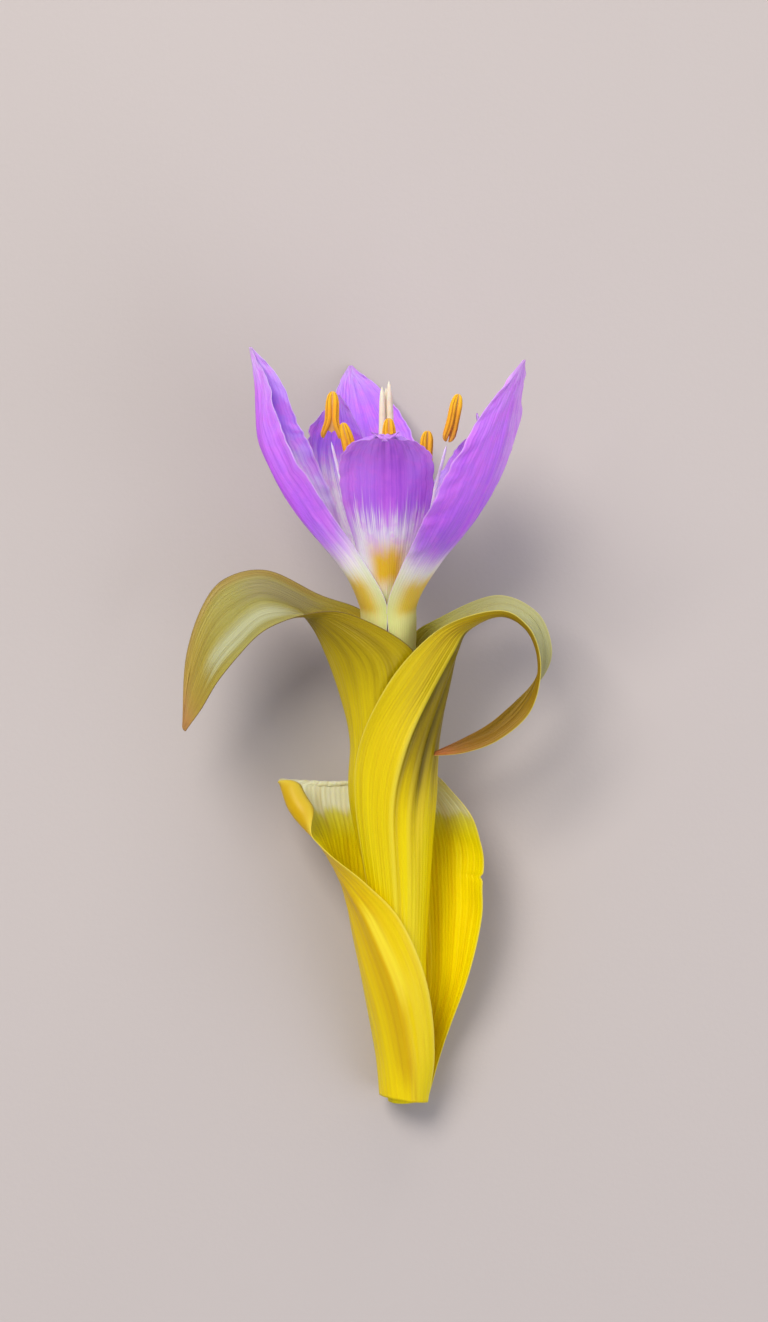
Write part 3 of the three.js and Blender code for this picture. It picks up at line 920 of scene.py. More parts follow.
class RodTree:
    """Geometry Nodes that turn a line of points into a tapering round rod."""

    NAME = "tapering_rod"

    def __init__(self) -> None:
        """Builds the tree."""
        self.tree = bpy.data.node_groups.new(self.NAME, "GeometryNodeTree")
        face = self.tree.interface
        face.new_socket("Geometry", in_out="INPUT", socket_type="NodeSocketGeometry")
        for label, start in (("Root radius", 0.3 * MM), ("Tip radius", 0.15 * MM), ("Root flare", 0.0)):
            face.new_socket(label, in_out="INPUT", socket_type="NodeSocketFloat").default_value = start
        face.new_socket("Sides", in_out="INPUT", socket_type="NodeSocketInt").default_value = 20
        face.new_socket("Material", in_out="INPUT", socket_type="NodeSocketMaterial")
        face.new_socket("Geometry", in_out="OUTPUT", socket_type="NodeSocketGeometry")
        given = self._node("NodeGroupInput")
        line = self._node("GeometryNodeMeshToCurve", Mesh=given.outputs["Geometry"])
        share = self._node("GeometryNodeSplineParameter").outputs["Factor"]
        marked = {"Geometry": line.outputs["Curve"], "Name": "along", "Value": share}
        kept = self._node("GeometryNodeStoreNamedAttribute", **marked)
        slope = self._maths("SUBTRACT", given.outputs["Tip radius"], given.outputs["Root radius"])
        radius = self._maths("ADD", given.outputs["Root radius"], self._maths("MULTIPLY", slope, share))
        flare = self._maths("POWER", self._maths("SUBTRACT", 1.0, share), 9.0)
        radius = self._maths("ADD", radius, self._maths("MULTIPLY", flare, given.outputs["Root flare"]))
        close = self._maths("POWER", self._maths("SUBTRACT", 1.0, self._maths("POWER", share, 40.0)), 0.5)
        radius = self._maths("MAXIMUM", self._maths("MULTIPLY", radius, close), 0.02 * MM)
        circle = self._node("GeometryNodeCurvePrimitiveCircle", Resolution=given.outputs["Sides"], Radius=1.0)
        sweep = {"Curve": kept.outputs["Geometry"], "Profile Curve": circle.outputs["Curve"]}
        sweep |= {"Scale": radius, "Fill Caps": True}
        swept = self._node("GeometryNodeCurveToMesh", **sweep)
        even = self._node("GeometryNodeSetShadeSmooth", Geometry=swept.outputs["Mesh"])
        real = self._node("GeometryNodeRealizeInstances", Geometry=even.outputs["Geometry"])
        dressed = {"Geometry": real.outputs["Geometry"], "Material": given.outputs["Material"]}
        final = self._node("GeometryNodeSetMaterial", **dressed)
        self._node("NodeGroupOutput", Geometry=final.outputs["Geometry"])

    def _node(self, kind: str, **sockets: Any) -> bpy.types.Node:
        """Makes a node and sets or links its inputs by name."""
        made = self.tree.nodes.new(kind)
        for name, value in sockets.items():
            socket = next(s for s in made.inputs if s.name == name and s.enabled)
            if isinstance(value, bpy.types.NodeSocket):
                self.tree.links.new(value, socket)
            else:
                socket.default_value = value
        return made

    def _maths(self, operation: str, *terms: Any) -> bpy.types.NodeSocket:
        """Adds a Math node."""
        made = self.tree.nodes.new("ShaderNodeMath")
        made.operation = operation
        for socket, term in zip(made.inputs, terms):
            if isinstance(term, bpy.types.NodeSocket):
                self.tree.links.new(term, socket)
            else:
                socket.default_value = term
        return made.outputs[0]

    def make(self, name: str, points: np.ndarray, sizes: dict[str, Any]) -> bpy.types.Object:
        """Sweeps a rod.

        Args:
            name: the rod's name.
            points: the points of its middle line, in metres.
            sizes: the tree's inputs by name.

        Returns:
            The rod as a plain mesh object.
        """
        line = bpy.data.meshes.new(name + "_line")
        line.from_pydata(points.tolist(), [(i, i + 1) for i in range(len(points) - 1)], [])
        guide = bpy.data.objects.new(name + "_line", line)
        bpy.context.scene.collection.objects.link(guide)
        return evaluated(guide, name, self.tree, sizes)


def evaluated(
    guide: bpy.types.Object, name: str, tree: bpy.types.NodeTree, sizes: dict[str, Any]
) -> bpy.types.Object:
    """Runs a Geometry Nodes tree on an object and puts the plain mesh in its place.

    Args:
        guide: the object, which is removed.
        name: the new object's name.
        tree: the tree.
        sizes: the tree's inputs by name.

    Returns:
        The new object.
    """
    layer = guide.modifiers.new("shape", "NODES")
    layer.node_group = tree
    for item in tree.interface.items_tree:
        if item.item_type == "SOCKET" and item.in_out == "INPUT" and item.name in sizes:
            layer[item.identifier] = sizes[item.name]
    bpy.context.view_layer.update()
    graph = bpy.context.evaluated_depsgraph_get()
    mesh = bpy.data.meshes.new_from_object(guide.evaluated_get(graph), depsgraph=graph)
    guide.modifiers.remove(layer)
    bpy.data.objects.remove(guide)
    mesh.name = name
    made = bpy.data.objects.new(name, mesh)
    bpy.context.scene.collection.objects.link(made)
    return made


@dataclass
class Filament:
    """The stalk of a stamen, from its root in the throat to its anther."""

    place: str
    root: tuple[float, float, float]
    joint: tuple[float, float, float]
    finish: StemFinish
    radii: tuple[float, float] = (0.34, 0.17)
    flare: float = 0.35

    def build(self, rods: RodTree) -> bpy.types.Object:
        """The filament as a dressed piece."""
        root, joint = np.array(self.root), np.array(self.joint)
        middle = (root + joint) / 2 + np.array([0.04, 0, 0.04]) * (joint - root)
        x, height, z = smooth([root, middle, joint], np.linspace(0, 1, 28)).T
        material = self.finish.material()
        sizes = {"Root radius": self.radii[0] * MM, "Tip radius": self.radii[1] * MM}
        sizes |= {"Root flare": self.flare * MM, "Material": material}
        piece = rods.make(f"filament_{self.place}_stalk", LIE.metres(LIE.flower(x, height, z)), sizes)
        return settle(piece, material, "filament_" + self.place)


@dataclass
class Style:
    """A free style, from the cut up through the tube to its blunt stigma."""

    node: str
    side: tuple[float, float]
    tip: tuple[float, float, float]
    finish: StemFinish
    radius: float = 0.45

    def build(self, rods: RodTree) -> bpy.types.Object:
        """The style as a dressed piece."""
        a, b = self.side
        rows = [(a, -62.2, b), (a * 1.1, -20, b * 1.1), (a * 1.3, 8, b * 1.3), self.tip]
        x, height, z = smooth(rows, np.linspace(0, 1, 90)).T
        x = x + 0.05 * np.sin(height / 3.1 + self.tip[0]) * step(height, 0, 12)
        material = self.finish.material()
        sizes = {"Root radius": 0.62 * self.radius * MM, "Tip radius": 1.04 * self.radius * MM}
        sizes["Material"] = material
        piece = rods.make(self.node + "_stalk", LIE.metres(LIE.flower(x, height, z)), sizes)
        return settle(piece, material, self.node)


# ---- anthers ----


class PollenTree:
    """Geometry Nodes that scatter pollen grains over an anther's skin."""

    def __init__(self) -> None:
        """Builds the tree."""
        self.tree = bpy.data.node_groups.new("pollen_dust", "GeometryNodeTree")
        face, nodes, links = self.tree.interface, self.tree.nodes, self.tree.links
        face.new_socket("Geometry", in_out="INPUT", socket_type="NodeSocketGeometry")
        for label, start in (("Density", 2.0e7), ("Grain radius", 0.03 * MM)):
            face.new_socket(label, in_out="INPUT", socket_type="NodeSocketFloat").default_value = start
        face.new_socket("Seed", in_out="INPUT", socket_type="NodeSocketInt").default_value = SEED
        face.new_socket("Material", in_out="INPUT", socket_type="NodeSocketMaterial")
        face.new_socket("Geometry", in_out="OUTPUT", socket_type="NodeSocketGeometry")
        given, given_out = nodes.new("NodeGroupInput"), nodes.new("NodeGroupOutput")
        spread = nodes.new("GeometryNodeDistributePointsOnFaces")
        grain = nodes.new("GeometryNodeMeshIcoSphere")
        placed = nodes.new("GeometryNodeInstanceOnPoints")
        both = nodes.new("GeometryNodeJoinGeometry")
        real = nodes.new("GeometryNodeRealizeInstances")
        dressed = nodes.new("GeometryNodeSetMaterial")
        grain.inputs["Subdivisions"].default_value = 1
        links.new(given.outputs["Geometry"], spread.inputs["Mesh"])
        links.new(given.outputs["Density"], spread.inputs["Density"])
        links.new(given.outputs["Seed"], spread.inputs["Seed"])
        links.new(given.outputs["Grain radius"], grain.inputs["Radius"])
        links.new(spread.outputs["Points"], placed.inputs["Points"])
        links.new(grain.outputs["Mesh"], placed.inputs["Instance"])
        links.new(given.outputs["Geometry"], both.inputs[0])
        links.new(placed.outputs["Instances"], both.inputs[0])
        links.new(both.outputs[0], real.inputs["Geometry"])
        links.new(real.outputs["Geometry"], dressed.inputs["Geometry"])
        links.new(given.outputs["Material"], dressed.inputs["Material"])
        links.new(dressed.outputs["Geometry"], given_out.inputs["Geometry"])


@dataclass
class Anther:
    """A two-lobed anther: where it starts and ends, how far its lobes part, and which way it looks."""

    place: str
    joint: tuple[float, float, float]
    tip: tuple[float, float, float]
    finish: AntherFinish
    width: float = 1.9
    part: float = 0.25
    foot: float = 0.06
    facing: float = 0.0
    bow: float = 0.15
    size: tuple[int, int] = (28, 44)

    def lobe(self, side: int) -> tuple[np.ndarray, np.ndarray, dict[str, np.ndarray]]:
        """One lobe of the anther.

        Args:
            side: 1 for the right lobe, -1 for the left or 0 for the thin web between them.

        Returns:
            Its points in millimetres, its faces and its attributes.
        """
        around, steps = self.size
        joint, tip = np.array(self.joint), np.array(self.tip)
        start = joint + self.foot * (tip - joint)
        share = np.linspace(0, 1, steps)
        length = LIE.flower(*tip) - LIE.flower(*start)
        axis = unit(length)
        turned = math.radians(self.facing)
        right = unit(np.cross(axis, LIE.front * math.cos(turned) + np.array([1.0, 0, 0]) * math.sin(turned)))
        front = np.cross(right, axis)
        taper = np.sqrt(np.maximum(0.0, 1 - np.abs(2 * share - 1) ** 3.2)) * (1.06 - 0.22 * share) + 0.02
        thick = 0.24 * self.width * taper
        if side == 0:
            thick = 0.1 * self.width * taper * step(share, 0.12, 0.5)
        apart = 0.235 * self.width * np.minimum(1, taper + 0.15)
        apart = apart + self.part * np.clip(1 - share / 0.42, 0, 1) ** 1.4
        sag = self.bow * np.sin(np.pi * share) + 0.06 * np.sin(7 * share + side)
        middle = LIE.flower(*start) + share[:, None] * length
        middle = middle + side * apart[:, None] * right + sag[:, None] * front
        angle = 2 * np.pi * np.arange(around) / around
        slit_at = math.pi / 2 - side * 0.55
        slit = np.exp(-(((angle - slit_at + np.pi) % (2 * np.pi) - np.pi) / 0.2) ** 2)
        inner = 0.5 - 0.5 * side * np.cos(angle)
        depth = (1 - 0.3 * slit)[None, :] * thick[:, None]
        spread = apart[:, None] / np.maximum(thick[:, None], 0.02) if side == 0 else 1.0
        ring_x = (np.cos(angle)[None, :] * spread)[..., None] * right
        ring_y = np.sin(angle)[None, :, None] * front * 1.12
        points = middle[:, None] + depth[..., None] * (ring_x + ring_y)
        number = np.arange(around * steps).reshape(steps, around)
        turned_on = np.roll(number, -1, axis=1)
        faces = np.stack([number[:-1], turned_on[:-1], turned_on[1:], number[1:]], axis=-1).reshape(-1, 4)
        back = np.clip(-np.sin(angle), 0, 1)
        web = np.ones(around) if side == 0 else inner**3 * back + 0.35 * inner**6
        marks = {
            "along": np.repeat(share, around),
            "slit": np.tile(slit * abs(side), steps),
            "strip": np.tile(web, steps),
        }
        return points.reshape(-1, 3), faces, marks

    def build(self, pollen: PollenTree) -> bpy.types.Object:
        """The anther as a dressed piece."""
        points, faces, marks = [], [], {"along": [], "slit": [], "strip": []}
        for side in (-1, 0, 1):
            spots, quads, numbers = self.lobe(side)
            quads = quads + sum(len(p) for p in points)
            around, steps = self.size
            base = int(quads.min())
            last = base + around * (steps - 1)
            fan = [[base, base + i + 1, base + i, base] for i in range(1, around - 1)]
            cap = [[last, last + i, last + i + 1, last] for i in range(1, around - 1)]
            points.append(spots)
            faces.append((quads, fan, cap))
            for name, row in numbers.items():
                marks[name].append(row)
        quads = [list(q) for group in faces for q in group[0]]
        triangles = [f[:3] for group in faces for part in group[1:] for f in part]
        mesh = bpy.data.meshes.new("anther")
        mesh.from_pydata(LIE.metres(np.concatenate(points)).tolist(), [], quads + triangles)
        for name, rows in marks.items():
            layer = mesh.attributes.new(name, "FLOAT", "POINT")
            layer.data.foreach_set("value", np.concatenate(rows).astype(np.float32))
        shell = bmesh.new()
        shell.from_mesh(mesh)
        bmesh.ops.recalc_face_normals(shell, faces=shell.faces)
        shell.to_mesh(mesh)
        shell.free()
        mesh.polygons.foreach_set("use_smooth", [True] * len(mesh.polygons))
        bare = bpy.data.objects.new("anther_bare", mesh)
        bpy.context.scene.collection.objects.link(bare)
        material = self.finish.material()
        piece = evaluated(bare, f"anther_{self.place}_lobes", pollen.tree, {"Material": material})
        return settle(piece, material, "anther_" + self.place)


# ---- the studio ----


@dataclass(frozen=True)
class Softbox:
    """A square area light that looks at the plant."""

    name: str
    place: tuple[float, float, float]
    size: float
    power: float
    colour: str

    def hang(self, target: Vector) -> None:
        """Adds the light, turned towards target."""
        lamp = bpy.data.lights.new(self.name, "AREA")
        lamp.size = self.size
        lamp.energy = self.power
        lamp.color = tint(self.colour)[:3]
        made = bpy.data.objects.new(self.name, lamp)
        made.location = target + Vector(self.place)
        made.rotation_euler = (target - made.location).to_track_quat("-Z", "Y").to_euler()
        bpy.context.scene.collection.objects.link(made)


@dataclass
class Studio:
    """The floor, the lights, the sky and the camera."""

    frame_height: float = 165.25
    frame_middle: tuple[float, float] = (0.0, 55.875)
    focus_height: float = 16.0
    distance: float = 1.5
    lights: tuple[Softbox, ...] = (
        Softbox("key", (-0.35, 0.45, 0.85), 0.5, 8.8, "#fff8ee"),
        Softbox("fill", (0.75, -0.35, 0.6), 0.8, 4.2, "#f2f4ff"),
        Softbox("back", (0.1, 0.9, 0.25), 0.5, 2.5, "#fff6e8"),
    )

    def lay_floor(self) -> None:
        """Adds the floor at the height that the plant rests on."""
        floor_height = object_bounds()[0].z
        mesh = bpy.data.meshes.new("floor")
        reach = 4.0
        corners = [(-reach, -reach), (reach, -reach), (reach, reach), (-reach, reach)]
        mesh.from_pydata([(x, y, floor_height) for x, y in corners], [], [(0, 1, 2, 3)])
        mesh.materials.append(FloorFinish().material())
        floor = bpy.data.objects.new("floor", mesh)
        bpy.context.scene.collection.objects.link(floor)
        floor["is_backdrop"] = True

    def light(self) -> None:
        """Hangs the lights and sets the sky."""
        low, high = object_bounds()
        for softbox in self.lights:
            softbox.hang((low + high) / 2)
        world = bpy.data.worlds.new("soft sky")
        world.use_nodes = True
        sky = next(node for node in world.node_tree.nodes if node.type == "BACKGROUND")
        sky.inputs["Color"].default_value = tint("#dcdde6")
        sky.inputs["Strength"].default_value = 0.58
        bpy.context.scene.world = world
        bpy.context.scene.view_settings.view_transform = "Standard"

    def aim(self) -> None:
        """Adds the camera straight above the plant, with the flower up."""
        x, y = self.frame_middle
        centre = LIE.metres(np.array([x, y, self.focus_height]))
        lens = bpy.data.cameras.new("camera")
        lens.sensor_width = 36.0
        lens.lens = lens.sensor_width * self.distance / (self.frame_height * MM)
        lens.clip_start, lens.clip_end = 0.05, 20.0
        camera = bpy.data.objects.new("camera", lens)
        camera.location = (centre[0], centre[1], centre[2] + self.distance)
        bpy.context.scene.collection.objects.link(camera)
        bpy.context.scene.camera = camera


# ---- the plant ----


OUTER_LEAF = Leaf(
    node="leaf_outer_sheathing",
    hand=1,
    near_share=0.5,
    stations=[
        rolled((2.6, 0.5, 3.27), 3.05, -90, 252, 72, 1),
        rolled((3.2, 7.2, 4.6), 4.25, -90, 228, 85, 1),
        Station((3.4, 15.4, 2.0), (5.4, 15.4, 10.9), (10.4, 15.4, 7.2), (6.9, 1.5)),
        Station((2.4, 23.5, 3.0), (2.0, 23.5, 13.2), (12.1, 23.5, 9.0), (6.3, 1.6)),
        Station((1.8, 28.2, 3.6), (-2.1, 27.8, 14.0), (12.3, 27.8, 9.8), (5.0, 1.8)),
        Station((1.3, 31.6, 3.9), (-6.9, 31.6, 13.2), (12.5, 31.6, 9.8), (3.6, 2.0)),
        Station((1.1, 34.6, 4.1), (-9.6, 34.2, 12.0), (11.9, 34.2, 9.4), (2.8, 2.0)),
        Station((0.9, 38.0, 4.3), (-12.2, 37.4, 10.6), (10.4, 37.2, 8.8), (2.4, 1.7)),
        Station((0.7, 40.9, 3.8), (-13.3, 40.5, 8.6), (7.6, 40.4, 7.6), (1.6, 1.2)),
        Station((0.6, 41.4, 2.6), (-12.4, 40.9, 5.6), (6.8, 41.3, 5.6), (0.8, 0.8)),
        Station((0.5, 38.8, 1.5), (-10.2, 39.0, 1.9), (7.6, 39.2, 1.9), (0.7, 0.5)),
        Station((0.3, 33.0, 1.4), (-7.8, 33.0, 0.25), (7.6, 33.0, 0.25), (0.6, 0.5)),
        Station((0.2, 27.5, 1.0), (-4.6, 27.7, 0.25), (4.8, 27.7, 0.25), (0.3, 0.3)),
        Station((0.2, 22.0, 0.4), (-0.3, 22.2, 0.3), (0.7, 22.2, 0.3), (0.02, 0.02)),
    ],
    pleats=(
        Pleat(0.112, 0.02, -0.24, (-0.05, 0.34)),
        Pleat(0.16, 0.025, 0.14, (-0.05, 0.34)),
        Pleat(0.3, 0.02, -0.1, (-0.05, 0.3)),
        Pleat(0.66, 0.03, -0.16, (0.1, 0.5)),
        Pleat(0.8, 0.03, 0.14, (0.1, 0.5)),
    ),
    curl=Curl(0.025, 205, 3.5, (0.42, 0.51, 0.575, 0.64)),
    nicks=((0.325, 0.6, 0.006),),
    waves=((3.0, 0.12, 0.5), (7.0, 0.06, 1.0)),
    finish=BladeFinish(
        name="outer_leaf",
        outer=(
            (0.0, "#edd200"),
            (0.2, "#e6c800"),
            (0.35, "#ddba00"),
            (0.55, "#d6a400"),
            (1.0, "#a79a10"),
        ),
        inner=(
            # painted light: the inner stops near the cut are made brighter to lift the shade that falls on
            # that face
            (0.0, "#fbe400"),
            (0.28, "#f4dc00"),
            (0.42, "#e4d400"),
            (0.5, "#cbc716"),
            (0.56, "#cfd19c"),
            (1.0, "#a9aa55"),
        ),
        rim="#efdc58",
        streak="#d9b23c",
        patches=(
            # the inner face's own pale band, brightened further as a painted highlight where the blade bends
            # back
            Patch(Face.INNER, "#e0e3c4", (0.505, 0.545, 0.68, 0.8), strength=0.95, ragged=0.14),
            # painted shade: a dark stripe along the groove low on the sheath
            Patch(Face.OUTER, "#b98800", (0.0, 0.06, 0.26, 0.36), (0.09, 0.11, 0.13, 0.2), strength=0.45),
            # painted highlight: a bright stripe beside that groove
            Patch(Face.OUTER, "#f5e23c", (0.12, 0.16, 0.22, 0.28), (0.06, 0.08, 0.1, 0.112), strength=0.6),
        ),
    ),
)

RIGHT_LEAF = Leaf(
    node="leaf_right_curled",
    hand=-1,
    near_share=1 / 3,
    stations=[
        rolled((2.6, 0.7, 3.3), 2.32, 82, 70, 240, -1),
        rolled((2.3, 10.0, 5.4), 2.9, 82, 66, 236, -1),
        rolled((1.9, 18.3, 7.1), 3.2, 85, 62, 232, -1),
        rolled((1.5, 27.6, 9.2), 4.15, 85, 62, 225, -1),
        rolled((0.75, 38.5, 11.4), 5.65, 82, 58, 200, -1),
        rolled((1.2, 45.8, 13.0), 5.75, 70, 70, 172, -1),
        Station((6.2, 52.2, 17.6), (0.0, 52.2, 19.6), (1.2, 51.6, 8.2), (1.1, 3.9)),
        Station((8.9, 57.2, 18.4), (3.9, 57.3, 20.8), (3.2, 58.6, 10.4), (0.6, 2.2)),
        Station((10.6, 60.0, 18.2), (8.3, 60.6, 21.0), (7.2, 61.4, 12.6), (0.3, 1.2)),
        Station((14.5, 61.6, 17.2), (14.5, 62.1, 20.6), (14.1, 64.1, 12.6), (0.2, 0.7)),
        Station((17.7, 60.2, 16.4), (17.9, 60.3, 19.6), (19.2, 62.0, 12.4), (0.2, 0.6)),
        Station((19.3, 57.0, 15.8), (19.4, 57.2, 18.8), (21.0, 57.6, 12.4), (0.2, 0.5)),
        Station((19.3, 53.4, 15.3), (19.4, 53.2, 18.0), (19.9, 54.0, 12.6), (0.2, 0.4)),
        Station((17.2, 49.7, 15.2), (17.9, 49.1, 17.4), (16.3, 50.6, 13.0), (0.2, 0.3)),
        Station((13.9, 46.8, 15.4), (14.2, 45.9, 17.0), (13.2, 47.9, 13.8), (0.2, 0.3)),
        Station((9.9, 45.2, 15.6), (10.1, 44.4, 16.6), (9.7, 46.0, 14.8), (0.1, 0.2)),
        Station((6.0, 44.1, 15.6), (6.0, 44.0, 15.8), (6.0, 44.3, 15.4), (0.01, 0.01)),
    ],
    pleats=(
        Pleat(0.295, 0.012, -0.2, (0.1, 0.49)),
        Pleat(0.335, 0.016, 0.36, (0.14, 0.47)),
        Pleat(0.385, 0.016, -0.3, (0.16, 0.47)),
        Pleat(0.425, 0.015, 0.4, (0.2, 0.47)),
        Pleat(0.47, 0.018, -0.2, (0.2, 0.47)),
        Pleat(0.16, 0.05, 0.1, (0.2, 0.5)),
    ),
    waves=((4.0, 0.08, 0.5),),
    finish=BladeFinish(
        name="right_leaf",
        outer=(
            (0.0, "#f0dc00"),
            (0.2, "#ead300"),
            (0.3, "#e2c800"),
            # the stops darken to olive up the blade: the leaf's own gold with painted shade in its upper part
            (0.42, "#c8b000"),
            (0.5, "#b59a00"),
            (0.7, "#94790a"),
            (0.9, "#8a6a14"),
            (1.0, "#b5763c"),
        ),
        inner=(
            (0.0, "#c8b400"),
            (0.4, "#b5a608"),
            (0.5, "#b0b168"),
            (0.6, "#b4b88c"),
            (0.72, "#a3a26a"),
            (0.88, "#9a7c3c"),
            (1.0, "#bb7a48"),
        ),
        rim="#e6d860",
        streak="#c9ad40",
        patches=(
            # painted shade: dark olive on the far half just past the fold line, where the ridged half is
            # turned from the light
            Patch(Face.OUTER, "#7a6900", (0.22, 0.34, 0.48, 0.52), (0.285, 0.31, 0.52, 0.66), strength=0.95),
            # painted highlight: a thin pale line along the fold between the bright near half and the shaded
            # far half
            Patch(Face.OUTER, "#f2e24a", (0.1, 0.2, 0.45, 0.55), (0.275, 0.292, 0.298, 0.312), strength=0.35),
            # painted shadow: a dark strip down the deepest groove among the pleats
            Patch(Face.OUTER, "#6d5c00", (0.24, 0.3, 0.42, 0.46), (0.4, 0.42, 0.43, 0.455), strength=0.8),
            Patch(Face.BOTH, "#b9703c", (0.94, 0.985, 1.2, 1.3), strength=0.85),
        ),
    ),
)

LEFT_LEAF = Leaf(
    node="leaf_left_arching",
    hand=1,
    near_share=0.5,
    stations=[
        rolled((2.6, 0.9, 3.35), 1.75, 180, 150, 150, 1),
        rolled((2.3, 10.0, 5.4), 2.3, 180, 150, 150, 1),
        rolled((1.9, 18.3, 7.1), 2.6, 180, 150, 150, 1),
        rolled((1.4, 27.6, 9.2), 3.3, 180, 148, 145, 1),
        rolled((0.4, 38.5, 11.4), 4.6, 180, 140, 128, 1),
        rolled((0.5, 45.8, 13.0), 4.6, 180, 130, 118, 1),
        Station((-5.3, 51.0, 14.2), (3.6, 52.4, 17.6), (1.6, 50.6, 10.6), (2.6, 1.8)),
        Station((-7.3, 56.5, 15.6), (3.6, 57.2, 19.4), (1.4, 57.4, 12.0), (2.4, 2.0)),
        Station((-9.2, 60.5, 16.4), (-3.6, 61.5, 20.4), (-2.4, 62.0, 11.6), (1.2, 1.6)),
        Station((-11.2, 62.4, 16.8), (-8.4, 61.9, 20.9), (-8.0, 64.2, 12.2), (0.7, 1.0)),
        Station((-15.6, 63.2, 17.2), (-14.2, 60.0, 21.4), (-14.6, 67.2, 13.4), (0.5, 0.8)),
        Station((-19.4, 60.4, 17.8), (-18.0, 56.6, 21.4), (-19.9, 66.2, 14.6), (0.5, 0.8)),
        Station((-22.0, 57.0, 18.0), (-20.6, 53.6, 20.8), (-22.8, 62.6, 15.2), (0.4, 0.6)),
        Station((-23.8, 52.2, 18.0), (-22.9, 49.8, 19.6), (-24.8, 56.2, 16.0), (0.3, 0.4)),
        Station((-25.0, 47.3, 17.6), (-24.8, 47.1, 17.8), (-25.2, 47.7, 17.4), (0.01, 0.01)),
    ],
    pleats=(
        Pleat(0.2, 0.03, -0.12, (0.3, 0.6)),
        Pleat(0.34, 0.03, 0.12, (0.3, 0.58)),
    ),
    waves=((3.0, 0.10, 0.5), (8.0, 0.04, 1.0)),
    finish=BladeFinish(
        name="left_leaf",
        outer=(
            (0.0, "#e6cf00"),
            (0.32, "#e2cb00"),
            # the stops darken to olive up the blade: the leaf's own gold with painted shade in its upper part
            (0.42, "#cdb600"),
            (0.5, "#a89300"),
            (0.56, "#8d7a00"),
            (0.85, "#8c7420"),
            (1.0, "#b08040"),
        ),
        inner=(
            (0.0, "#b8a200"),
            (0.52, "#c09c00"),
            # the grey-olive stops are the leaf's own tone with a painted reflection of the sky in them
            (0.6, "#a1963a"),
            (0.7, "#96945a"),
            (0.82, "#9c9646"),
            (0.93, "#a48e2c"),
            (1.0, "#cfa468"),
        ),
        rim="#5e4a34",
        streak="#b3a668",
        rim_share=0.75,
        rim_width=0.02,
        veins=52,
        patches=(
            # painted highlight: a pale band on the near half of the arch's inner face
            Patch(Face.INNER, "#b4b996", (0.62, 0.7, 0.84, 0.9), (0.1, 0.24, 0.34, 0.5), strength=0.75),
            Patch(Face.INNER, "#9c8048", (0.6, 0.68, 0.92, 1.0), (0.88, 0.98, 1.1, 1.2), strength=0.7),
            # a grey-olive patch on the arch's inner face: own tone with a painted reflection of the sky
            Patch(Face.INNER, "#8f8766", (0.6, 0.66, 0.72, 0.78), (0.55, 0.7, 0.86, 0.95), strength=0.6),
            Patch(Face.BOTH, "#c99458", (0.95, 0.99, 1.2, 1.3), strength=0.8),
        ),
    ),
)


def tepal_finish(
    name: str, depth: str, mid: str, tip: str, inner_mid: str, patches: tuple[Patch, ...]
) -> BladeFinish:
    """A tepal's finish.

    Args:
        name: the material's name.
        depth: the deep colour above the claw, the tissue's own deeper violet darkened with painted shade.
        mid: the colour of the middle of the limb.
        tip: the colour of its tip.
        inner_mid: the inner face's colour.
        patches: patches of the tepal's own.

    Returns:
        The finish.
    """
    outer = (
        (0.0, "#dcd682"),
        (0.42, "#d6d07c"),
        (0.5, "#dedbb0"),
        (0.555, "#ebe6e2"),
        # the deep stop is the tissue's own deeper violet with painted shade in it
        (0.61, depth),
        (0.72, mid),
        (0.88, mid),
        (1.0, tip),
    )
    inner = (
        (0.0, "#dcd682"),
        (0.44, "#d8d188"),
        (0.52, "#e6e3d4"),
        (0.6, "#e6e3f0"),
        (0.72, inner_mid),
        (0.88, inner_mid),
        (1.0, tip),
    )
    return BladeFinish(
        name=name,
        outer=outer,
        inner=inner,
        rim=tip,
        streak="#b07fe0",
        veins=26,
        vein_depth=0.35,
        streak_share=0.4,
        rim_share=0.55,
        rim_width=0.035,
        patches=patches,
        roughness=0.5,
        relief=0.00004,
        glow=0.3,
        glow_colour=(0.9, 0.4, 1.0),
        sheen=0.1,
        streaks_from=(0.54, 0.64),
        blush="#d873f4",
        blush_share=0.4,
    )


BLOTCH = Patch(
    Face.BOTH, "#e2b81c", (0.36, 0.44, 0.49, 0.55), (0.02, 0.32, 0.68, 0.98), strength=0.9, ragged=0.06
)
FRONT_BLOTCH = Patch(Face.BOTH, "#e2b420", (0.47, 0.53, 0.56, 0.62), (0.08, 0.38, 0.62, 0.92), ragged=0.05)
MAGENTA = Patch(
    Face.OUTER, "#c04ee2", (0.62, 0.7, 0.84, 0.95), (0.2, 0.35, 0.5, 0.7), strength=0.45, ragged=0.25
)
PINK_EDGE = Patch(
    Face.OUTER, "#e0a8fc", (0.7, 0.8, 1.1, 1.2), (-0.2, -0.1, 0.4, 0.48), strength=0.75, ragged=0.2
)
WHITE_BASE = Patch(
    Face.INNER, "#efedf6", (0.5, 0.55, 0.68, 0.8), (0.05, 0.3, 0.75, 0.95), strength=0.95, ragged=0.22
)
FLARES = Patch(
    Face.OUTER, "#f0eaf4", (0.5, 0.53, 0.62, 0.68), (0.02, 0.1, 0.9, 0.98), strength=0.9, ragged=0.3
)

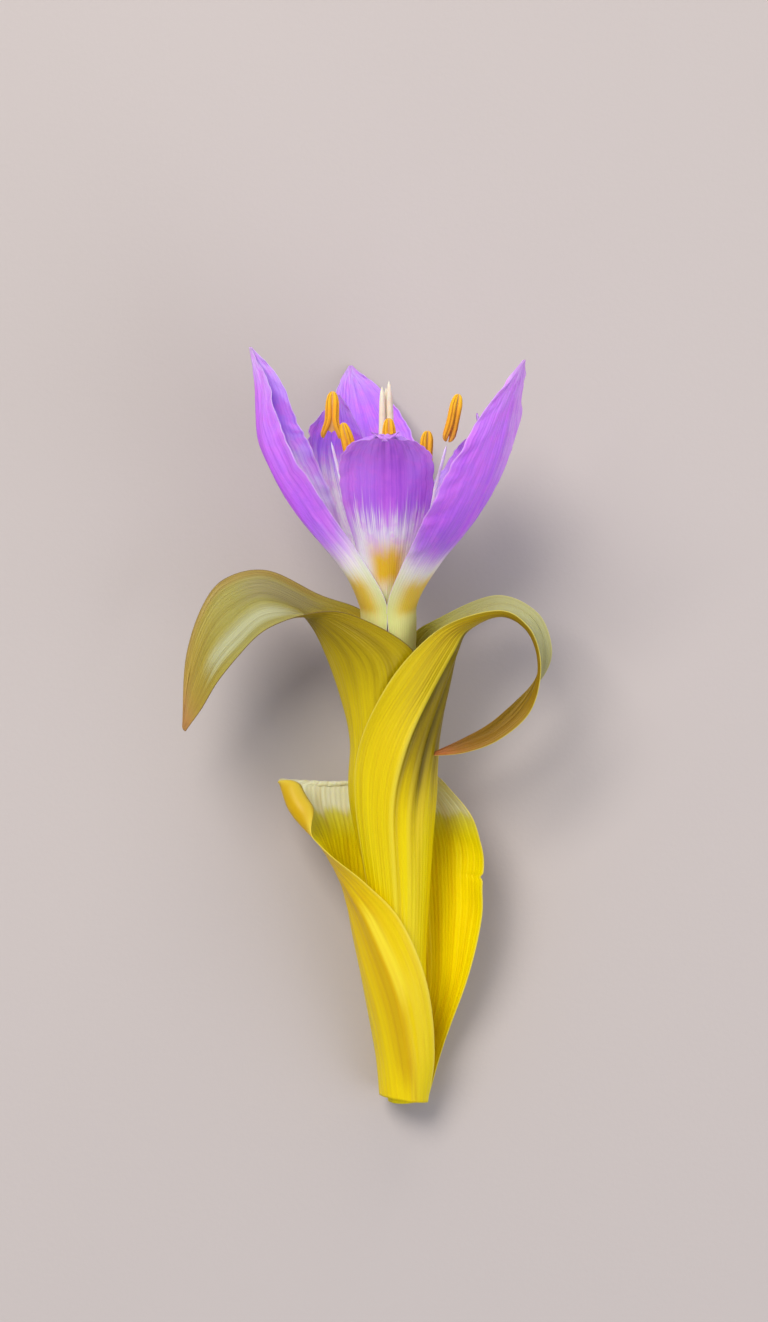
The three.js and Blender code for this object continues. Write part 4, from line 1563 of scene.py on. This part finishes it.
TEPALS = [
    Tepal(
        node="tepal_outer_left",
        cut=Cut.FOLDED,
        limb=((5, 6.6), (12, 12.0), (20, 16.0), (27, 16.4), (32, 17.2)),
        azimuth=-62,
        drift=-30,
        twist=-20,
        cup=140,
        tip_cup=140,
        fold=1,
        shift=0.14,
        finish=tepal_finish(
            "tepal_left", "#a14ee0", "#c478f8", "#e6cdfb", "#ab78f8", (BLOTCH, MAGENTA, WHITE_BASE)
        ),
    ),
    Tepal(
        node="tepal_outer_right",
        cut=Cut.BROAD,
        limb=((5, 6.8), (11.5, 12.2), (19, 16.4), (27, 19.2), (33, 21.6)),
        azimuth=57,
        drift=-6,
        cup=92,
        tip_cup=50,
        finish=tepal_finish(
            "tepal_right", "#9e48de", "#c474fb", "#e6bcfa", "#a878f8", (BLOTCH, PINK_EDGE, WHITE_BASE)
        ),
    ),
    Tepal(
        node="tepal_outer_back",
        cut=Cut.OUTER,
        limb=((5, 6.6), (10.5, 11.3), (16.5, 16.3), (22, 20.6), (25.6, 22.75)),
        azimuth=180,
        drift=12,
        cup=60,
        tip_cup=30,
        finish=tepal_finish("tepal_back", "#a050e0", "#b56af4", "#d7b5fa", "#b06cf6", (BLOTCH, WHITE_BASE)),
    ),
    Tepal(
        node="tepal_inner_front",
        cut=Cut.INNER,
        limb=((6, 5.2), (13.5, 8.8), (20.5, 13), (24.3, 17.8), (24.6, 22.3)),
        azimuth=-1,
        cup=62,
        tip_cup=-70,
        ruffle=((7, 0.05, 0.4), (15, 0.03, 1.9), (29, 0.02, 0.3)),
        finish=tepal_finish(
            "tepal_front", "#a956e8", "#c27afb", "#c88cfa", "#ab78f8", (FLARES, FRONT_BLOTCH, MAGENTA)
        ),
    ),
    Tepal(
        node="tepal_inner_back_left",
        cut=Cut.INNER,
        limb=((5, 4.8), (11, 8.4), (16.5, 11.4), (20.5, 12.6), (24, 12.6)),
        azimuth=-128,
        drift=-22,
        finish=tepal_finish(
            "tepal_back_left", "#9a4ce0", "#ab68f4", "#cfa8fa", "#a76cf8", (BLOTCH, WHITE_BASE)
        ),
    ),
    Tepal(
        node="tepal_inner_back_right",
        cut=Cut.INNER,
        limb=((5, 5.6), (10.5, 9.0), (15.5, 11.4), (20, 12.0), (23.4, 11.2)),
        azimuth=120,
        drift=-22,
        finish=tepal_finish(
            "tepal_back_right", "#9a4ce0", "#ab68f4", "#cfa8fa", "#a76cf8", (BLOTCH, WHITE_BASE)
        ),
    ),
]

STALK = StemFinish(
    name="filament_stalk",
    stops=((0.0, "#efe9c8"), (0.3, "#f3f0f6"), (0.7, "#ece2f6"), (1.0, "#dccdf2")),
    mottle="#cdbfe2",
)
CREAM = StemFinish(
    name="style_cream",
    stops=((0.0, "#dfe0a0"), (0.7, "#e9dfc2"), (1.0, "#efe7d0")),
    mottle="#d8c9a0",
)


@dataclass(frozen=True)
class Stamen:
    """Where a stamen's root, joint and tip are in the flower, and how its anther parts and faces."""

    place: str
    root: tuple[float, float, float]
    joint: tuple[float, float, float]
    tip: tuple[float, float, float]
    part: float = 0.2
    facing: float = 0.0


STAMENS = [
    Stamen("front", (0.1, 1, 2.5), (0.2, 17.6, 5.2), (0.1, 24.2, 5.6), 0.35),
    Stamen("front_right", (1.9, 1, 1.3), (4.4, 16.6, 3.2), (4.9, 22.2, 3.4), 0.45, 25),
    Stamen("right", (2.1, 1, -1.1), (7.3, 19.0, -3.6), (8.8, 25.4, -4.2), 0.1, 35),
    Stamen("back", (0.0, 1, -2.5), (1.4, 11.4, -6.0), (1.6, 17.4, -7.4)),
    Stamen("left", (-2.1, 1, -1.1), (-7.1, 19.4, -3.8), (-6.9, 25.7, -4.4), 0.85),
    Stamen("front_left", (-1.9, 1, 1.3), (-3.9, 17.0, 2.9), (-5.6, 23.2, 3.2), 0.1, -30),
]

STYLES = [
    Style("style_left", (-0.4, 0.2), (-0.8, 27.2, 0.3), CREAM),
    Style("style_right", (0.4, 0.2), (0.1, 27.9, 0.1), CREAM),
    Style("style_back", (0.0, -0.45), (-0.3, 26.8, -1.0), CREAM),
]


def set_shift() -> None:
    """Finds where the plant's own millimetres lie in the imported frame, from the middles of the anthers."""
    gaps = []
    for stamen in STAMENS:
        low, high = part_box("anther_" + stamen.place)
        start = np.array(stamen.joint) + 0.06 * (np.array(stamen.tip) - np.array(stamen.joint))
        own = (LIE.flower(*start) + LIE.flower(*stamen.tip)) / 2
        gaps.append(np.array((low + high) / 2) / MM - own)
    LIE.shift = np.mean(gaps, axis=0)
    log.info("shift %s", LIE.shift.round(3))


def main() -> None:
    """Builds the plant and the studio."""
    logging.basicConfig(level=logging.INFO, format="%(message)s")
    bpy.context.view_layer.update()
    set_shift()
    for leaf in (OUTER_LEAF, RIGHT_LEAF, LEFT_LEAF):
        leaf.build()
    for tepal in TEPALS:
        tepal.build()
    rods, pollen = RodTree(), PollenTree()
    for stamen in STAMENS:
        Filament(stamen.place, stamen.root, stamen.joint, STALK).build(rods)
        parted = {"part": stamen.part, "facing": stamen.facing}
        Anther(stamen.place, stamen.joint, stamen.tip, AntherFinish(), **parted).build(pollen)
    for style in STYLES:
        style.build(rods)
    studio = Studio()
    studio.lay_floor()
    studio.light()
    studio.aim()


if __name__ == "__main__":
    main()
